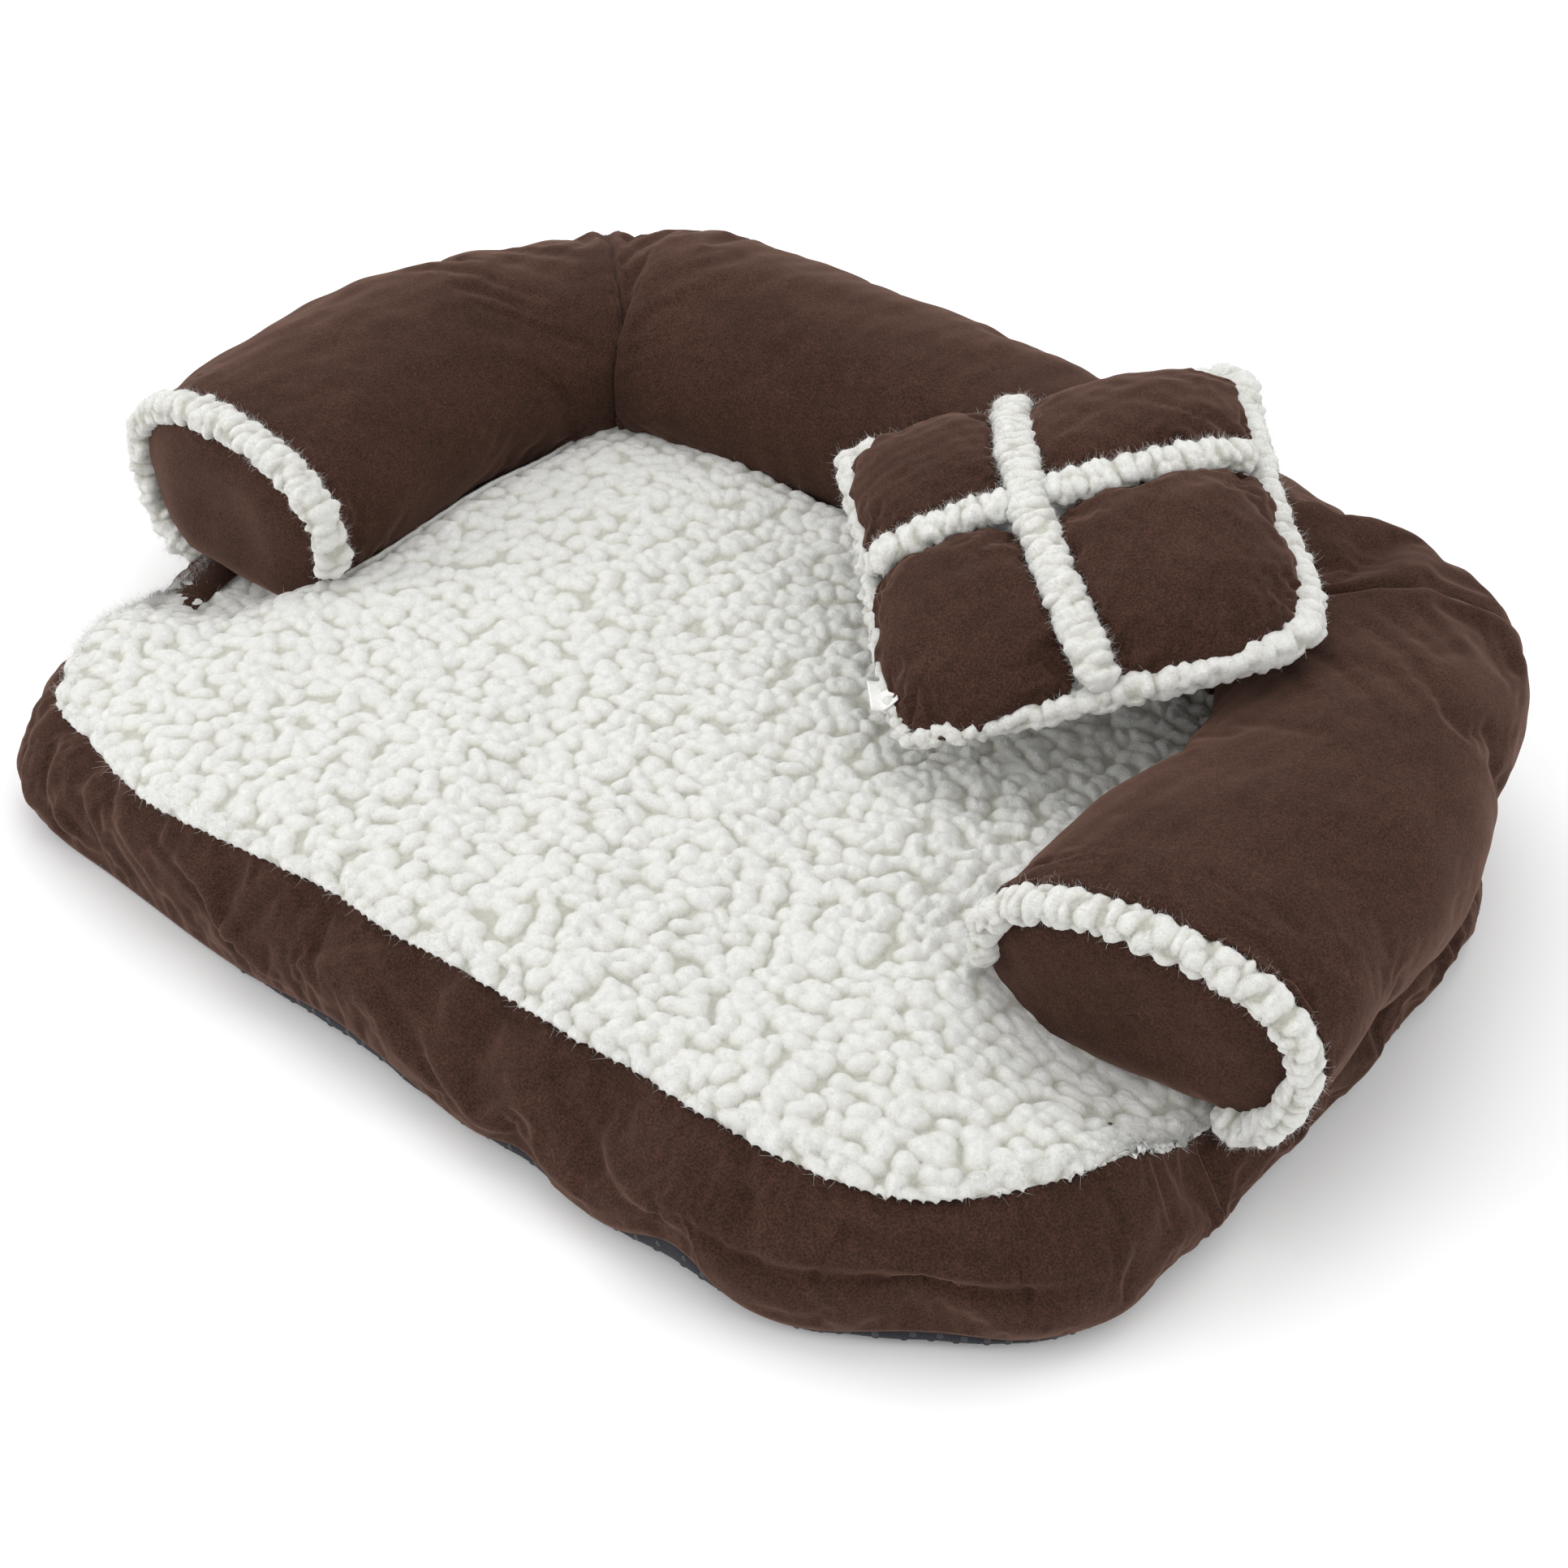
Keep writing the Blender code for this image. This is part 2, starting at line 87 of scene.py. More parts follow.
# Stations of the bolster, from the right arm's end round the back to the left arm's end: the
# centre (x, y), the half width, the outward direction across the sleeve, and its top.
STATIONS = (
    (0.2162, -0.0665, 0.059, 1.0, 0.12, 0.104),
    (0.2165, -0.049, 0.0598, 1.0, 0.1, 0.106),
    (0.2155, -0.02, 0.0592, 1.0, 0.04, 0.1055),
    (0.218, 0.0272, 0.056, 1.0, 0.02, 0.105),
    (0.2074, 0.0781, 0.0516, 1.0, 0.18, 0.1045),
    (0.1832, 0.1265, 0.0546, 0.73, 0.68, 0.103),
    (0.1383, 0.14, 0.049, 0.16, 1.0, 0.1055),
    (0.0702, 0.143, 0.05, 0.03, 1.0, 0.107),
    (-0.004, 0.152, 0.05, 0.0, 1.0, 0.1085),
    (-0.08, 0.15, 0.0506, -0.03, 1.0, 0.1095),
    (-0.148, 0.1448, 0.054, -0.16, 1.0, 0.1105),
    (-0.183, 0.133, 0.0538, -0.73, 0.68, 0.1035),
    (-0.2073, 0.0864, 0.0526, -1.0, 0.18, 0.107),
    (-0.2169, 0.0407, 0.0569, -1.0, 0.02, 0.108),
    (-0.2155, -0.0126, 0.058, -1.0, 0.04, 0.108),
    (-0.213, -0.04, 0.056, -1.0, 0.05, 0.1065),
    (-0.209, -0.058, 0.0535, -1.0, 0.03, 0.104),
)
MITRES = (5, 11)  # the stations of the two corner seams
SLEEVES = ("right_arm", "back_bolster", "left_arm")

# The mattress's edge in tenths of a millimetre, anticlockwise from the middle of the front, each
# (hem x, y, seam x, y): the bottom edge of the boxing and its top seam. The bed is a little
# lopsided: the left corner is cut shorter than the right one.
RIM = (
    (0, -1975, 0, -1788), (450, -1985, 450, -1778), (900, -2005, 880, -1772),
    (1300, -2025, 1270, -1772), (1600, -2005, 1550, -1768), (1900, -1915, 1825, -1722),
    (2190, -1740, 2060, -1600), (2400, -1560, 2235, -1410), (2520, -1340, 2345, -1200),
    (2565, -1080, 2420, -1000), (2590, -750, 2460, -700), (2605, -300, 2480, -300),
    (2610, 150, 2490, 150), (2590, 600, 2475, 600), (2530, 960, 2420, 930), (2360, 1290, 2260, 1240),
    (2080, 1560, 2000, 1490), (1680, 1720, 1630, 1610), (1000, 1790, 1000, 1670), (0, 1800, 0, 1680),
    (-1000, 1790, -1000, 1670), (-1650, 1730, -1600, 1620), (-2050, 1580, -1970, 1510),
    (-2320, 1310, -2220, 1260), (-2480, 960, -2370, 930), (-2540, 600, -2425, 600),
    (-2550, 150, -2430, 150), (-2520, -300, -2400, -300), (-2440, -700, -2330, -700),
    (-2345, -1040, -2240, -1000), (-2240, -1310, -2140, -1260), (-2125, -1580, -2010, -1510),
    (-1990, -1790, -1840, -1690), (-1780, -1875, -1600, -1775), (-1450, -1895, -1330, -1830),
    (-1050, -1925, -1040, -1860), (-650, -1955, -700, -1815), (-300, -1970, -340, -1785),
)
RIM_STEPS = 12  # points between two rows of the table

LEDGE = 0.018  # the boxing's cover turned in under the bolster
TUFT_STRETCH = 0.56  # the strips' tufts are this much longer across the strip
FIBRE_LEVELS = 4  # rings of a loose fibre, and its radius at the root
FIBRE_RADIUS = 0.000055
FIBRES_PER_METRE, MOST_FIBRES = 22000, 7000
CURL_EDGE = 26  # how sharply two neighbouring curls meet
SUEDE_THICK = 0.0011
FINER = 3  # how many times finer the boxing and the bolster are than their cloth runs

TUBE, BAND = (False, True), (True, False)  # grids whose columns, or whose rows, meet


# ---- numbers on grids ----
def smooth(t):
    t = np.clip(t, 0.0, 1.0)
    return t * t * (3 - 2 * t)


def unit(vectors):
    return vectors / np.maximum(np.linalg.norm(vectors, axis=-1, keepdims=True), 1e-12)


def circle(count):
    """Even angles once round."""
    return np.linspace(0, math.tau, count, endpoint=False)


def lengths(line):
    """Distance along a polyline at each of its points."""
    return np.concatenate([[0], np.cumsum(np.linalg.norm(np.diff(line, axis=0), axis=1))])


def waves(points, length, seed, count=7):
    """A smooth wobble between about -1 and 1, with features of that length."""
    rng = np.random.default_rng(seed)
    total = np.zeros(points.shape[:-1])
    for _ in range(count):
        way = rng.normal(size=points.shape[-1])
        way *= math.tau / (length * rng.uniform(0.7, 1.5)) / np.linalg.norm(way)
        total += np.sin(points @ way + rng.uniform(0, math.tau))
    return total / math.sqrt(count) / 1.4


def grain(points, size, octaves=2):
    """Fine natural noise at each point."""
    flat = points.reshape(-1, points.shape[-1]) / size
    if flat.shape[1] == 2:
        flat = np.column_stack([flat, np.zeros(len(flat))])
    values = [noise.fractal(Vector(p), 1.0, 2.0, octaves) for p in flat]
    return np.array(values).reshape(points.shape[:-1])


def curls(uv, cell, seed, crowd=0.71):
    """Sherpa curls: leaning domes of mixed size that crowd each other, about 0 to 1."""
    rng = np.random.default_rng(seed)
    shape = uv.shape[:-1]
    flat = uv.reshape(-1, 2)
    bend = np.column_stack([waves(flat, cell * 2.3, seed + 1), waves(flat, cell * 2.7, seed + 2)])
    q = flat / cell + 0.22 * bend
    home = np.floor(q).astype(int)
    low = home.min(0) - 2
    size = tuple(home.max(0) - low + 4)
    spot = 0.5 + 0.78 * (rng.random(size + (2,)) - 0.5)
    radius = crowd + 0.16 * rng.random(size)
    stand = 0.18 * rng.random(size)
    lean = rng.normal(0.0, 0.09, size + (2,)) + (0.05, -0.07)
    angle = math.pi * rng.random(size)
    best = np.zeros(len(q))
    total = np.ones(len(q))
    for di in range(-2, 3):
        for dj in range(-2, 3):
            cell_at = home + (di, dj)
            i, j = (cell_at - low).clip(0, np.array(size) - 1).T
            d = q - cell_at - spot[i, j]
            c, s = np.cos(angle[i, j]), np.sin(angle[i, j])
            far = ((d[:, 0] * c + d[:, 1] * s) / 1.12) ** 2
            far += ((d[:, 1] * c - d[:, 0] * s) / 0.9) ** 2
            inside = 1 - far / radius[i, j] ** 2
            dome = stand[i, j] + 0.75 * inside + np.sum(d * lean[i, j], 1)
            total += np.where(inside > 0, np.exp(np.clip(CURL_EDGE * dome, 0, 60)), 0)
            best = np.maximum(best, np.where(inside > 0, dome, 0))
    soft = np.maximum(np.log(total) / CURL_EDGE, 0.9 * best)
    return np.clip((soft - 0.2) / 0.68, 0, 1.15).reshape(shape)


def spline_rows(rows, per_span):
    """Catmull-Rom rows through the given rows (first axis)."""
    out = []
    last = len(rows) - 1
    for k in range(last):
        before, after = rows[max(k - 1, 0)], rows[min(k + 2, last)]
        a, b = rows[k], rows[k + 1]
        for step in range(per_span):
            t = step / per_span
            out.append(0.5 * (2 * a + (b - before) * t
                              + (2 * before - 5 * a + 4 * b - after) * t ** 2
                              + (3 * a - before - 3 * b + after) * t ** 3))
    return np.array(out + [rows[-1]])


def refine(grid, factor, closed=(False, False)):
    """A grid of points with factor times as many rows and columns, on smooth curves."""
    for axis in (0, 1):
        g = np.swapaxes(grid, 0, axis)
        if closed[axis]:
            g = np.concatenate([g[-2:], g, g[:3]])
            g = spline_rows(g, factor)[2 * factor:-2 * factor - 1]
            g = g[:len(grid if axis == 0 else grid[0]) * factor]
        else:
            g = spline_rows(g, factor)
        grid = np.swapaxes(g, 0, axis)
    return grid


def evened(line, count):
    """An open polyline resampled at even distances."""
    along = lengths(line)
    t = np.linspace(0, along[-1], count)
    return np.column_stack([np.interp(t, along, line[:, k]) for k in range(line.shape[1])])


def normals_of(grid, closed=(False, False)):
    """Unit normals of a grid, du x dv."""
    slopes = []
    for axis in (0, 1):
        if closed[axis]:
            slopes.append(np.roll(grid, -1, axis) - np.roll(grid, 1, axis))
        else:
            slopes.append(np.gradient(grid, axis=axis))
    return unit(np.cross(*slopes))


# ---- meshes ----
def quads(rows, columns, closed=(False, False), keep=None):
    """Corner indices of a grid's quads. keep is a mask of the quads that stay."""
    i = np.arange(rows if closed[0] else rows - 1)
    j = np.arange(columns if closed[1] else columns - 1)
    i, j = np.meshgrid(i, j, indexing="ij")
    i2, j2 = (i + 1) % rows, (j + 1) % columns
    faces = np.stack([i * columns + j, i2 * columns + j, i2 * columns + j2, i * columns + j2], -1)
    if keep is not None:
        faces = faces[keep]
    return faces.reshape(-1, 4)


def stand(name, data):
    """A new object in the scene."""
    made = bpy.data.objects.new(name, data)
    bpy.context.scene.collection.objects.link(made)
    return made


def make_mesh(name, points, faces, material, shades=None):
    """A smooth-shaded object from points and faces; shades fills the point attribute 'depth', which the
    sherpa turns into painted shade at its low points.
    """
    points = np.asarray(points, float).reshape(-1, 3)
    used = np.unique(np.concatenate([np.ravel(f) for f in faces]))
    place = np.full(len(points), -1)
    place[used] = np.arange(len(used))
    mesh = bpy.data.meshes.new(name)
    lists = [place[f].tolist() for group in faces for f in np.asarray(group)]
    mesh.from_pydata(points[used].tolist(), [], lists)
    mesh.shade_smooth()
    if shades is not None:
        depth = mesh.attributes.new("depth", "FLOAT", "POINT")
        depth.data.foreach_set("value", np.ravel(shades)[used].astype(np.float32))
    mesh.materials.append(material)
    return stand(name, mesh)


def tubes(name, rings, material, shades=None, capped=True):
    """Tubes as one object, from rings of points: (tube, ring, place on the ring, xyz)."""
    many, levels, sides = rings.shape[:3]
    start = levels * sides * np.arange(many)[:, None]
    faces = [(quads(levels, sides, TUBE)[None] + start[..., None]).reshape(-1, 4)]
    if capped:
        faces += [start + np.arange(sides), start + np.arange(levels * sides)[:-sides - 1:-1]]
    return make_mesh(name, rings, faces, material, shades)


def rings_round(line, thick, side, other, count):
    """A ring of points, in the plane of side and other, round each point of some lines."""
    turns = [math.cos(a) * side + math.sin(a) * other for a in circle(count)]
    return np.stack([line + thick * turn for turn in turns], -2)


def grid_piece(name, grid, material, closed=(False, False), shades=None, keep=None):
    faces = quads(grid.shape[0], grid.shape[1], closed, keep)
    return make_mesh(name, grid, [faces], material, shades)


def fuzz(name, grid, normals, weight, count, length, seed, body):
    """Loose fibres standing on a skin: thin curved tapering strands, rooted by weight."""
    rng = np.random.default_rng(seed)
    points, ways = grid.reshape(-1, 3), normals.reshape(-1, 3)
    share = np.ravel(weight).astype(float)
    at = rng.choice(len(points), count, p=share / share.sum())
    way = unit(ways[at] + rng.normal(0, 0.75, (count, 3)))
    bow = rng.normal(0, 0.8, (count, 3))
    side = unit(np.cross(way, rng.normal(size=(count, 3))))
    other = np.cross(way, side)
    reach = length * rng.uniform(0.45, 1.25, (count, 1, 1))
    t = np.linspace(0, 1, FIBRE_LEVELS)[None, :, None]
    line = points[at][:, None] + reach * (t * way[:, None] + t * t * bow[:, None] * 0.6)
    thick = FIBRE_RADIUS * (1 - 0.7 * t)
    strands = rings_round(line, thick, side[:, None], other[:, None], 3)
    settle(tubes(name, strands, SHERPA, np.ones(strands.shape[:3]), False), body, "sherpa")


def backed(piece, thickness):
    """Gives a skin its fabric thickness, inwards."""
    shell = piece.modifiers.new("fabric", "SOLIDIFY")
    shell.thickness = thickness
    shell.offset = -1.0
    return piece


def inflate(grid, closed, pins, pressure, grow, frames, cap, gravity=0.0, stiffness=15.0):
    """Runs a grid as cloth that is a little too large for its seams, and returns where it goes."""
    flat = grid.reshape(-1, 3)
    mesh = bpy.data.meshes.new("cloth_run")
    mesh.from_pydata(flat.tolist(), [], quads(grid.shape[0], grid.shape[1], closed).tolist())
    runner = stand("cloth_run", mesh)
    group = runner.vertex_groups.new(name="pins")
    held = np.ravel(pins)
    for k in np.flatnonzero(held > 0):
        group.add([int(k)], float(held[k]), "REPLACE")
    cloth = runner.modifiers.new("Cloth", "CLOTH")
    s = cloth.settings
    s.quality = 6
    s.mass = 0.12
    s.tension_stiffness = s.compression_stiffness = stiffness
    s.shear_stiffness = stiffness / 3
    s.bending_stiffness = 0.35
    s.air_damping = 3.0
    s.use_pressure = True
    s.uniform_pressure_force = pressure
    s.shrink_min = -grow
    s.vertex_group_mass = "pins"
    s.effector_weights.gravity = gravity
    cloth.collision_settings.use_collision = False
    cloth.point_cache.frame_start = 1
    cloth.point_cache.frame_end = frames
    scene = bpy.context.scene
    for number in range(1, frames + 1):
        scene.frame_set(number)
    solved = runner.evaluated_get(bpy.context.evaluated_depsgraph_get())
    out = np.empty(len(flat) * 3)
    solved.data.vertices.foreach_get("co", out)
    bpy.data.objects.remove(runner)
    scene.frame_set(1)
    move = out.reshape(grid.shape) - grid
    far = np.linalg.norm(move, axis=-1, keepdims=True)
    return grid + move * np.minimum(1.0, cap / np.maximum(far, 1e-9))


# ---- materials ----
class Shader:
    """A Principled material and short calls for its nodes."""

    def __init__(self, name, roughness, specular, sheen, sheen_roughness, sheen_tint):
        self.material = bpy.data.materials.new(name)
        self.material.use_nodes = True
        self.tree = self.material.node_tree
        self.shader = self.tree.nodes["Principled BSDF"]
        self.put("Roughness", roughness)
        self.put("Specular IOR Level", specular)
        self.put("Sheen Weight", sheen)
        self.put("Sheen Roughness", sheen_roughness)
        self.put("Sheen Tint", (*sheen_tint, 1.0))
        self.place = self.add("ShaderNodeTexCoord").outputs["Object"]

    def put(self, socket, value):
        self.shader.inputs[socket].default_value = value

    def add(self, kind, **values):
        node = self.tree.nodes.new(kind)
        for key, value in values.items():
            setattr(node, key, value)
        return node

    def link(self, a, b):
        self.tree.links.new(a, b)

    def noise(self, scale, detail=2.0, rough=0.5, distortion=0.0):
        node = self.add("ShaderNodeTexNoise")
        node.inputs["Scale"].default_value = scale
        node.inputs["Detail"].default_value = detail
        node.inputs["Roughness"].default_value = rough
        node.inputs["Distortion"].default_value = distortion
        self.link(self.place, node.inputs["Vector"])
        return node.outputs["Fac"]

    def wave(self, direction, scale):
        node = self.add("ShaderNodeTexWave", wave_type="BANDS", bands_direction=direction)
        node.inputs["Scale"].default_value = scale
        self.link(self.place, node.inputs["Vector"])
        return node.outputs["Fac"]

    def ramp(self, factor, stops):
        node = self.add("ShaderNodeValToRGB")
        while len(node.color_ramp.elements) < len(stops):
            node.color_ramp.elements.new(0.5)
        for element, (at, colour) in zip(node.color_ramp.elements, stops):
            element.position = at
            element.color = (*colour, 1.0)
        self.link(factor, node.inputs["Fac"])
        return node.outputs["Color"]

    def mix(self, kind, a, b, factor):
        node = self.add("ShaderNodeMix", data_type="RGBA", blend_type=kind)
        node.inputs[0].default_value = factor
        self.link(a, node.inputs[6])
        self.link(b, node.inputs[7])
        return node.outputs[2]

    def bump(self, height, distance, strength, after=None):
        node = self.add("ShaderNodeBump")
        node.inputs["Distance"].default_value = distance
        node.inputs["Strength"].default_value = strength
        self.link(height, node.inputs["Height"])
        if after is not None:
            self.link(after, node.inputs["Normal"])
        return node.outputs["Normal"]

    def done(self, colour, normal):
        self.link(colour, self.shader.inputs["Base Color"])
        self.link(normal, self.shader.inputs["Normal"])
        return self.material


def suede_material():
    """Brushed microsuede: a mottled nap, a fine speckle and a soft light rim."""
    s = Shader("suede", 0.92, 0.16, 0.3, 0.45, (0.62, 0.36, 0.27))
    dark, light = (0.034, 0.0156, 0.0105), (0.045, 0.0208, 0.0142)
    nap = s.ramp(s.noise(26, 3.0, 0.6), ((0.3, dark), (0.7, light)))
    speck = s.ramp(s.noise(1300, 2.0, 0.75), ((0.38, (0.55,) * 3), (0.62, (1.44, 1.42, 1.4))))
    streak = s.ramp(s.noise(240, 3.0, 0.65), ((0.35, (0.88,) * 3), (0.65, (1.12, 1.11, 1.1))))
    colour = s.mix("MULTIPLY", s.mix("MULTIPLY", nap, streak, 1.0), speck, 1.0)
    soft = s.bump(s.noise(150, 3.0, 0.6), 0.0006, 0.35)
    return s.done(colour, s.bump(s.noise(1700, 2.0, 0.7), 0.00025, 0.5, soft))


def sherpa_material():
    """Off-white curly fleece: warm grey painted shade down between the curls, fine fibres on them."""
    s = Shader("sherpa", 0.96, 0.1, 0.55, 0.6, (1.0, 1.0, 0.98))
    s.put("Subsurface Weight", 0.25)
    s.put("Subsurface Radius", (0.006, 0.0055, 0.0045))
    s.put("Subsurface Scale", 0.5)
    depth = s.add("ShaderNodeAttribute", attribute_name="depth").outputs["Fac"]
    # painted shade: the curls' 'depth' height colours their low points darker and warmer, as shade
    # falling between them
    painted_crevice_shade = s.ramp(depth, ((0.05, (0.5, 0.495, 0.43)), (0.4, (0.68, 0.675, 0.63)),
                          (0.8, (0.735, 0.733, 0.71))))
    fibre = s.ramp(s.noise(900, 3.0, 0.65, 1.2), ((0.3, (0.9, 0.9, 0.89)), (0.7, (1.05,) * 3)))
    colour = s.mix("MULTIPLY", painted_crevice_shade, fibre, 1.0)
    curl = s.bump(s.noise(420, 3.0, 0.6, 2.2), 0.0011, 0.55)
    return s.done(colour, s.bump(s.noise(1500, 3.0, 0.7, 1.4), 0.00045, 0.6, curl))


def grip_material():
    """Near-black non-skid cloth with a fine plain weave."""
    s = Shader("grip_fabric", 0.6, 0.28, 0.05, 0.5, (0.5, 0.5, 0.6))
    colour = s.ramp(s.noise(60, 3.0), ((0.3, (0.006, 0.006, 0.01)), (0.7, (0.011, 0.011, 0.017))))
    warp = s.bump(s.wave("X", 420), 0.0002, 0.4)
    return s.done(colour, s.bump(s.wave("Y", 420), 0.0002, 0.4, warp))


def dot_material():
    """Glossy moulded grip dots."""
    s = Shader("grip_dot", 0.25, 0.5, 0.0, 0.5, (1.0, 1.0, 1.0))
    colour = s.ramp(s.noise(300), ((0.3, (0.01, 0.01, 0.016)), (0.7, (0.018, 0.018, 0.026))))
    return s.done(colour, s.bump(s.noise(900), 0.0001, 0.2))


def thread_material():
    """Brown sewing thread with its twist."""
    s = Shader("thread", 0.7, 0.3, 0.3, 0.4, (0.5, 0.35, 0.3))
    colour = s.ramp(s.noise(2200), ((0.3, (0.02, 0.01, 0.007)), (0.7, (0.042, 0.021, 0.015))))
    return s.done(colour, s.bump(s.noise(2600, 2.0), 0.0002, 0.5))


def tag_material():
    """A blank white woven satin label."""
    s = Shader("tag", 0.55, 0.35, 0.2, 0.4, (1.0, 1.0, 1.0))
    colour = s.ramp(s.noise(500), ((0.3, (0.8, 0.8, 0.78)), (0.7, (0.86, 0.86, 0.85))))
    return s.done(colour, s.bump(s.wave("DIAGONAL", 700), 0.0001, 0.4))


def filling_material():
    """White polyester fibre."""
    s = Shader("stuffing", 0.95, 0.1, 0.4, 0.5, (1.0, 1.0, 1.0))
    colour = s.ramp(s.noise(120, 4.0, 0.7, 2.0), ((0.3, (0.74, 0.74, 0.73)), (0.7, (0.88,) * 3)))
    return s.done(colour, s.bump(s.noise(200, 4.0, 0.7, 2.0), 0.002, 0.6))


SUEDE = suede_material()
SHERPA = sherpa_material()
GRIP = grip_material()
GRIP_DOT = dot_material()
THREAD = thread_material()
TAG = tag_material()
FILLING = filling_material()


def settle(piece, body, slot, *nodes, padded=None):
    """Puts a finished piece on its body and hides the CAD nodes it stands for; the slot argument is not
    used.
    """
    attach(piece, body)
    if nodes:
        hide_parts(*nodes)
    return piece


# ---- the mattress ----
def bump(x, centre, width):
    return np.exp(-((x - centre) / width) ** 2)


def shoulder(distance, width, power):
    """1 at an edge, falling round to 0 at that width from it."""
    t = 1 - np.clip(distance / width, 0, 1)
    return 1 - np.sqrt(np.clip(1 - t ** power, 0, 1))


def rim_loops():
    """Hem and seam outlines with matching points, and the outward directions along the hem."""
    rows = np.array(RIM) / 10000
    rows = spline_rows(np.concatenate([rows[-2:], rows, rows[:3]]), RIM_STEPS)
    rows = rows[2 * RIM_STEPS:(2 + len(RIM)) * RIM_STEPS]
    hem, seam = rows[:, :2], rows[:, 2:]
    along = np.roll(hem, -1, 0) - np.roll(hem, 1, 0)
    out = unit(np.column_stack([along[:, 1], -along[:, 0]]))
    ripple = 0.0007 * waves(seam, 0.04, 12) * (seam[:, 1] < -0.1)
    return hem, seam + out * ripple[:, None], out


def seam_height(x, y):
    """The boxing's top: high in front, pressed down where the bolster lies on it."""
    start, length = np.where(x > 0, -0.118, -0.16), np.where(x > 0, 0.045, 0.085)
    t = smooth((y - start) / length)
    return FRONT_SEAM_Z + (REAR_SEAM_Z - FRONT_SEAM_Z) * t


def hem_height(loop):
    """The boxing's bottom: it rides up in scallops along the front and shows the panel."""
    x, y = loop[:, 0], loop[:, 1]
    front = smooth((-0.1 - y) / 0.05)
    scallops = ((0.0105, -0.02, 0.04), (0.009, 0.07, 0.016), (0.014, 0.137, 0.02), (0.0085, 0.216, 0.028))
    lift = sum(height * bump(x, at, width) for height, at, width in scallops)
    side = 0.0042 * smooth((0.13 - np.abs(y + 0.01)) / 0.05) * (x > 0)
    return 0.0014 + front * lift + (1 - front) * side + 0.0004 * (1 + waves(loop, 0.05, 5))


def boxing_grid(levels):
    loop, top, out = rim_loops()
    seam, hem = seam_height(top[:, 0], top[:, 1]), hem_height(loop)
    grid = np.empty((len(loop), levels, 3))
    for k in range(levels):
        t = k / (levels - 1)
        lean = t ** 2.1
        swell = 0.003 * math.sin(math.pi * min(1.0, t * 1.1)) ** 1.2
        foot = 0.0012 * (1 - t) ** 6
        grid[:, k, :2] = loop * (1 - lean) + top * lean + out * (swell - foot)
        grid[:, k, 2] = hem + (seam - hem) * t ** 0.88
    return grid, loop, out


def add_boxing():
    """The suede band: cloth held at its two seams, with the pinched folds of the front corners."""
    grid, loop, out = boxing_grid(14)
    pins = np.zeros(grid.shape[:2])
    pins[:, [0, -1]] = 1.0
    grid = inflate(grid, BAND, pins, 1.6, 0.035, 16, 0.004)
    fine = refine(grid, FINER, BAND)
    rows, marks = np.arange(len(fine)) / FINER, np.arange(len(loop) + 1)
    x, y, out_x, out_y = (np.interp(rows, marks, np.append(values, values[0]))
                          for values in (*loop.T, *out.T))
    t = np.linspace(0, 1, fine.shape[1])[None, :]
    fine = fine + normals_of(fine, BAND) * boxing_creases(x[:, None], y[:, None], t, fine)
    inward = -np.stack([out_x, out_y, 0 * rows], -1)[:, None]
    ledge = fine[:, -1:] + inward * LEDGE * np.array([0.5, 1.0])[None, :, None]
    fine = np.concatenate([fine, ledge], 1)
    front_row = 0.5 * (y + np.roll(y, -1)) < SPLIT_Y
    keep = np.repeat(front_row[:, None], fine.shape[1] - 1, 1)
    for node, faces in (("front_boxing", keep), ("rear_boxing", ~keep)):
        piece = grid_piece(node + "_cover", fine, SUEDE, BAND, keep=faces)
        settle(backed(piece, SUEDE_THICK), "bed", "suede", node, padded=0.5)


def crease(along, across, width, depth):
    """A soft fold: a groove beside a rounded ridge, at across = 0, fading with along."""
    groove = -np.exp(-(across / width) ** 2)
    ridge = 0.75 * np.exp(-((across - 1.7 * width) / (1.2 * width)) ** 2)
    return depth * along * (groove + ridge)


